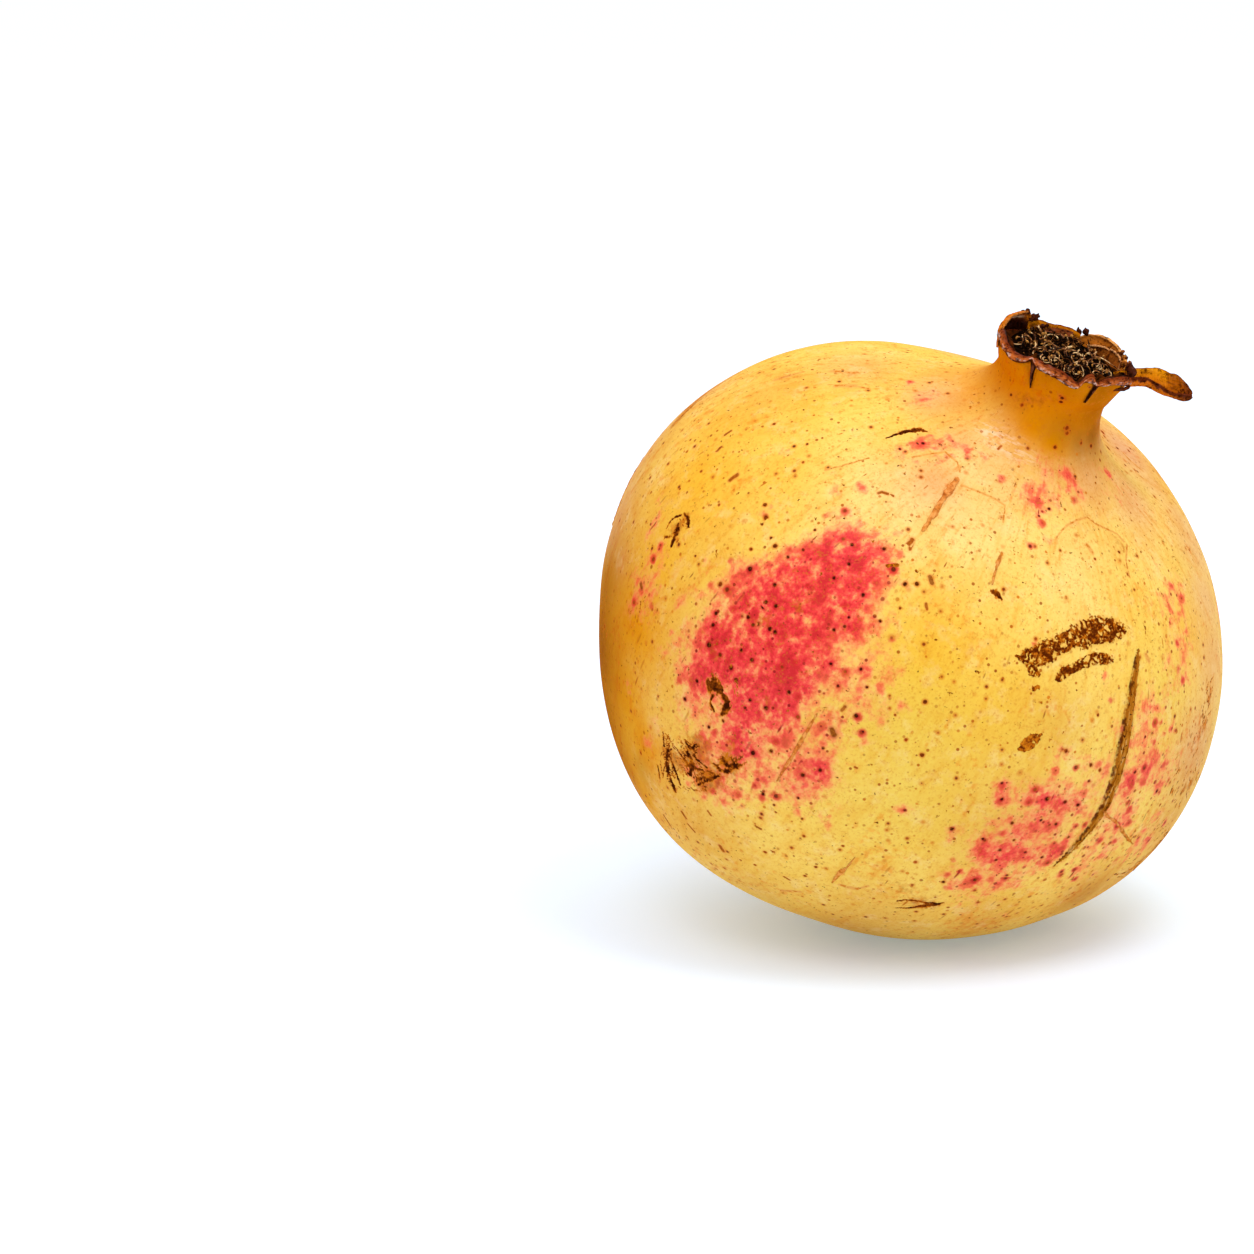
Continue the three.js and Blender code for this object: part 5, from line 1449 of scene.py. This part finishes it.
def make_crumbs(draw):
    """The marked crumbs, and small beads scattered over the rim's right end."""
    crumbs = [make_crumb(in_crown(out, up, turn), size, pointed, CRUMB_SHADE, i)
              for i, (out, up, turn, size, pointed) in enumerate(CRUMBS)]
    for i in range(BEADS):
        turn = draw.uniform(2, 26)
        place = in_crown(draw.uniform(9.1, 10.3), draw.uniform(0.8, 1.6) + turn * 0.04, turn)
        crumbs.append(make_crumb(place, draw.uniform(0.18, 0.36), 0, draw.choice(BEAD_SHADES), i + 40))
    return crumbs


lobes = [make_lobe(name, **form) for name, form in LOBES.items()]
crumbs = make_crumbs(random.Random(5))
crown = join_all([make_lip(), make_strap(), make_roll()] + lobes + crumbs, "dried_crown")
smooth_crown = places_of(crown)
wrinkle = 0.5 * lumps_at(smooth_crown, 0.9) + 0.4 * lumps_at(smooth_crown, 0.45)
move_to(crown, smooth_crown + normals_of(crown) * (0.1 * wrinkle)[:, None])


def crown_finish():
    """Brown dead tissue: the colours noted on each piece, with their painted shade and highlights, then
    veins, dark hollows, waxy bumps and pale painted glints.
    """
    f = Finish("dried_lobes", Roughness=0.6, Specular_IOR_Level=0.0, Coat_Roughness=0.22)
    veins = f.noise(0.4, 4, 0.65, at=f.stretched(tuple(RIM_ACROSS), 5))
    lumps = f.noise(0.9, 5, 0.65, warp=0.8)
    glint = f.noted("glint")
    base = f.noted("tint", "Color")
    base = f.mix(f.fade(veins, 0.4, 0.7, 0, 0.35), base, colour(255, 196, 110), "SOFT_LIGHT")
    base = f.mix(f.fade(lumps, 0.5, 0.36, 0, 0.85), base, colour(84, 34, 18), "MULTIPLY")
    base = f.mix(f.fade(veins, 0.46, 0.34, 0, 0.5), base, colour(96, 40, 14), "MULTIPLY")
    # Painted highlight: pale glints where the pieces note them
    base = f.mix(f.times(glint, f.fade(f.noise(0.5, 3), 0.45, 0.62, 0, 0.75)), base, colour(236, 190, 168))
    f.relief((f.noise(0.5, 4, 0.6), 0.1), (veins, 0.05))
    wax = f.most(f.fade(lumps, 0.5, 0.68, 0.02, 0.3), f.times(glint, 0.6))
    return f.set(Base_Color=base, Coat_Weight=wax)


crown.data.materials.append(crown_finish())
crown.data.shade_smooth()
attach(crown, "root")
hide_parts("crown_lobes")


# The stamens

MAT_RADIUS = 8.2
BACK_RISE = 1.1  # how much higher the dead tissue stands along the back


def back_rise(out, turn):
    """How much higher the stamens stand at a place, because they are heaped up along the back."""
    return BACK_RISE * max(0.0, math.sin(math.radians(turn))) * (out / MAT_RADIUS) ** 2


def make_mat():
    """The matted foot of the stamens: a lumpy dark cushion that fills the cup."""
    cushion = add_primitive(bpy.ops.mesh.primitive_uv_sphere_add, "stamen_mat", segments=120, ring_count=60,
                            radius=1)
    placed = []
    for x, y, z in own_places(cushion):
        out, turn = math.hypot(x, y) ** 0.6 * MAT_RADIUS, math.degrees(math.atan2(y, x))
        up = 0.1 + back_rise(out, turn) - 0.5 * (out / MAT_RADIUS) ** 4 if z > 0 else -0.4 - 5 * abs(z)
        point = in_crown(out, up, turn)
        lump = noise.noise(Vector(point) / 1.5) + 0.7 * noise.noise(Vector(point) / 0.7)
        placed.append(point + RIM_UP * 0.9 * lump * step(z, 0.02, 0.2))
    move_to(cushion, np.array(placed))
    return cushion


def within_cup(place, most=7.7):
    """The place, moved in towards the crown's axis if it stands out too far."""
    off = place - RIM_MIDDLE
    flat = off - RIM_UP * (off @ RIM_UP)
    radius = np.linalg.norm(flat)
    return place - flat * (1 - most / radius) if radius > most else place


def curled_path(draw, out, up, turn, length, bend, points=12):
    """A thread's points: it rises out of the mat, leans over and curls round."""
    place = in_crown(out, up + back_rise(out, turn), turn)
    heading = draw.uniform(0, 360)
    stand = draw.uniform(0.5, 1.6)
    path = []
    for i in range(points):
        t = i / (points - 1)
        angle = math.radians(heading + bend * t * t)
        climb = stand * (1 - 1.7 * t) + 0.15 * math.sin(9 * t + heading)
        way = RIM_ACROSS * math.cos(angle) + RIM_FRONT * math.sin(angle) + RIM_UP * climb
        path.append(place)
        place = within_cup(place + way / np.linalg.norm(way) * length / points)
    return path


def ring_path(draw, most_out=6.6, higher=0.0):
    """A thread's points: one curl, open at its end, that leans towards the front or up."""
    out, turn = most_out * math.sqrt(draw.random()), draw.uniform(0, 360)
    middle = in_crown(out, draw.uniform(0.3, 1.1) + back_rise(out, turn) + higher * 0.4, turn)
    facing_way = Vector(RIM_UP * draw.uniform(0.5, 1) + RIM_FRONT * draw.uniform(0.1, 0.9)
                        + RIM_ACROSS * draw.uniform(-0.6, 0.6)).normalized()
    first = np.array(facing_way.orthogonal().normalized())
    second = np.cross(np.array(facing_way), first)
    radius, start, sweep = draw.uniform(0.5, 1.15), draw.uniform(0, 6.3), draw.uniform(3.6, 6.0)
    path = []
    for i in range(13):
        t = i / 12
        angle, size = start + sweep * t, radius * (1.15 - 0.3 * t)
        path.append(within_cup(middle + (first * math.cos(angle) + second * math.sin(angle)) * size
                               - RIM_UP * 0.5 * (1 - t)))
    return path


# The curls that stand out: the pixel of their middle, their radius in pixels, and their height in millimetres
CURLS = [
    (1030, 337, 5.7, 1.1), (1019, 340, 4.3, 0.7), (1072, 343, 8.5, 1.0), (1072, 354, 6.4, 1.0),
    (1088, 356, 4.3, 1.1), (1077, 371, 7.9, 0.8), (1077, 371, 4.3, 0.9), (1095, 367, 5.7, 0.9),
    (1068, 370, 4.0, 0.7), (1039, 351, 5.0, 0.6), (1051, 347, 5.0, 0.8), (1043, 341, 4.0, 1.0),
    (1059, 361, 4.5, 0.7), (1048, 360, 4.0, 0.5), (1081, 363, 4.0, 0.9), (1035, 329, 4.0, 1.3),
    (1103, 368, 4.5, 0.8), (1060, 352, 3.5, 0.9),
]
LONG_THREAD = [(1093, 357, 1.4), (1097, 356, 1.8), (1104, 359, 1.9), (1111, 364, 1.7), (1119, 370, 1.2)]


def cup_point(x, y, up):
    """The point that a pixel shows at a height above the neck's wall."""
    start, way = camera_place(), sight_line(x, y)
    return start + way * (((RIM_MIDDLE - start) @ RIM_UP + up) / (way @ RIM_UP))


def marked_curl(draw, x, y, radius, up):
    """A crooked curl of thread, open at its end, that faces the camera at a pixel."""
    middle, start, sweep = cup_point(x, y, up), draw.uniform(0, 6.3), draw.uniform(3.4, 6.4)
    upward = CAMERA_UP * draw.uniform(0.6, 1) + CAMERA_BACK * draw.uniform(-0.6, 0.2)
    lean, wave = CAMERA_RIGHT * draw.uniform(-0.8, 0.8) + upward * draw.uniform(-0.5, 0.5), draw.uniform(2, 4)
    path = []
    for i in range(16):
        t = i / 15
        angle, size = start + sweep * t, radius * PIXEL * (1.3 - 0.6 * t + 0.12 * math.sin(wave * 6 * t))
        curl = CAMERA_RIGHT * math.cos(angle) + upward * math.sin(angle)
        path.append(middle + curl * size + lean * radius * PIXEL * max(0.0, 0.3 - t) * 3)
    return path


def make_wisp(draw):
    """One thread that rises anywhere out of the mat."""
    out, up, turn = 7.4 * math.sqrt(draw.random()), draw.uniform(-0.9, 0.2), draw.uniform(0, 360)
    length, bend = draw.uniform(1.8, 4.0), draw.choice((-1, 1)) * draw.uniform(60, 260)
    return curled_path(draw, out, up, turn, length, bend)


# How many open curls lie on top and deeper down, how many wisps there are, and how many anthers
TOP_CURLS, LOW_CURLS, WISPS, ANTHERS = 44, 34, 90, 60

draw = random.Random(11)
rings = [marked_curl(draw, *curl) for curl in CURLS]
rings.append([cup_point(*point) for point in LONG_THREAD])
rings += [ring_path(draw, 7.3, 0.7)[:draw.randint(6, 10)] for _ in range(TOP_CURLS)]
low_threads = [ring_path(draw) for _ in range(LOW_CURLS)] + [make_wisp(draw) for _ in range(WISPS)]
bright_threads = make_threads("curled_threads", rings, 0.1)
dark_threads = make_threads("matted_threads", low_threads, 0.085)
mat = make_mat()


def make_anthers(draw, paths):
    """Small golden beads at the ends of the threads, each with a groove along it."""
    first = add_primitive(bpy.ops.mesh.primitive_ico_sphere_add, "anthers", subdivisions=2, radius=1)
    beads = [first] + [new_piece("bead", first.data.copy()) for _ in paths[1:]]
    own = own_places(first)
    groove = 1 - 0.25 * np.exp(-(own[:, 0] / 0.3) ** 2)
    for bead, path in zip(beads, paths):
        axis = np.array(path[-1]) - np.array(path[-2])
        size = 0.13 + 0.12 * draw.random()
        turn = np.array(Vector((0, 0, 1)).rotation_difference(Vector(axis)).to_matrix())
        move_to(bead, own * size * (1, 0.8, 1.5) * groove[:, None] @ turn.T + path[-1])
    return join_all(beads, "anthers")


anthers = make_anthers(draw, (rings + low_threads)[:ANTHERS])


def stamen_finish(name, size, gloss, *shades):
    """One of the stamens' browns, mottled in lumps of a size."""
    f = Finish(name, Roughness=0.6, Specular_IOR_Level=0.0, Coat_Weight=gloss, Coat_Roughness=0.3)
    f.relief((f.noise(0.4, 3), 0.1))
    return f.set(Base_Color=f.ramp(f.noise(size, 4, 0.6), *shades))


# The mat's near black is its dark tissue, and also painted shade deep in the cup
BLACK_MAT = stamen_finish("black_mat", 0.9, 0.0, (0.4, 8, 4, 2), (0.6, 26, 12, 5), (0.8, 80, 42, 16))
# The golden threads' palest stops are painted glints, scattered at random along them
GOLDEN_THREAD = stamen_finish("golden_thread", 1.2, 0.3, (0.4, 34, 12, 3), (0.5, 150, 84, 30),
                              (0.62, 255, 212, 148))
BROWN_THREAD = stamen_finish("brown_thread", 1.4, 0.05, (0.42, 14, 5, 1), (0.54, 78, 36, 8),
                             (0.7, 214, 146, 76))
GOLDEN_ANTHER = stamen_finish("golden_anther", 0.8, 0.2, (0.35, 70, 36, 14), (0.6, 206, 140, 60))
mat.data.materials.append(BLACK_MAT)
bright_threads.data.materials.append(GOLDEN_THREAD)
dark_threads.data.materials.append(BROWN_THREAD)
anthers.data.materials.append(GOLDEN_ANTHER)
for piece in (mat, bright_threads, dark_threads, anthers):
    piece.data.shade_smooth()
    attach(piece, "root")
    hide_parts("stamens")


# The stalk's stub

stub = copy_node("stalk_stub", "stalk_end")
finish_with(stub, "SUBSURF", levels=4, render_levels=4, subdivision_type="SIMPLE")
smooth_stub = places_of(stub)
dents = lumps_at(smooth_stub, 1.6) + 0.6 * lumps_at(smooth_stub, 0.6)
move_to(stub, smooth_stub - normals_of(stub) * (0.28 + 0.28 * dents)[:, None])


def stalk_finish():
    """Dry grey-brown wood, with its grain along the stalk."""
    f = Finish("stalk_wood", Roughness=0.8)
    grain = f.noise(0.7, 4, 0.6, at=f.stretched(tuple(CROWN_AXIS), 6))
    f.relief((f.noise(0.5, 4), 0.15))
    return f.set(Base_Color=f.ramp(grain, (0.3, 60, 42, 28), (0.7, 140, 112, 80)))


stub.data.materials.append(stalk_finish())
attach(stub, "root")
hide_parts("stalk_stub")


# Floor, light and camera

floor = add_primitive(bpy.ops.mesh.primitive_plane_add, "table_top", size=6, location=(0, 0, 0))
white_table = Finish("white_table", Base_Color=(0.78, 0.86, 0.98, 1), Roughness=0.9, Specular_IOR_Level=0.0,
                     Emission_Color=(0.6, 0.78, 1, 1), Emission_Strength=0.26)
floor.data.materials.append(white_table.material)

SIDE_LIGHT, TOP_LIGHT = 0.16, 1.52
world = bpy.data.worlds.new("studio")
bpy.context.scene.world = world
world.use_nodes = True
# The studio is brighter overhead than at the sides
sky = world.node_tree.nodes
upward = sky.new("ShaderNodeSeparateXYZ")
brightness = sky.new("ShaderNodeMapRange")
brightness.inputs["To Min"].default_value = SIDE_LIGHT
brightness.inputs["To Max"].default_value = TOP_LIGHT
link = world.node_tree.links.new
link(sky.new("ShaderNodeTexCoord").outputs["Generated"], upward.inputs[0])
link(upward.outputs["Z"], brightness.inputs["Value"])
link(brightness.outputs["Result"], sky["Background"].inputs["Strength"])
sky["Background"].inputs["Color"].default_value = (1, 1, 1, 1)


def softbox(name, towards, away, size, power):
    """A square light that shines on the fruit from a direction in the camera's frame, in metres and watts."""
    across, up, back = towards
    way = Vector(CAMERA_RIGHT * across + CAMERA_UP * up + CAMERA_BACK * back).normalized()
    bpy.ops.object.light_add(type="AREA", location=Vector(BODY_MIDDLE * MM) + way * away)
    light = bpy.context.view_layer.objects.active
    light.name = name
    light.data.shape = "SQUARE"
    light.data.size = size
    light.data.energy = power
    light.rotation_mode = "QUATERNION"
    light.rotation_quaternion = way.to_track_quat("Z", "Y")


softbox("key_softbox", (0.28, 0.82, 0.51), 0.9, 0.3, 1.7)
softbox("fill_softbox", (-0.24, 0.65, 0.73), 1.1, 0.35, 1.0)

lens = SENSOR * CAMERA_AWAY / (PHOTO_SIDE * PIXEL)
bpy.ops.object.camera_add(location=camera_place() * MM, rotation=(math.pi / 2 - CAMERA_RISE, 0, 0))
camera = bpy.context.view_layer.objects.active
camera.data.lens = lens
camera.data.sensor_width = SENSOR
camera.data.clip_end = 20
bpy.context.scene.camera = camera
bpy.context.scene.view_settings.view_transform = "Standard"
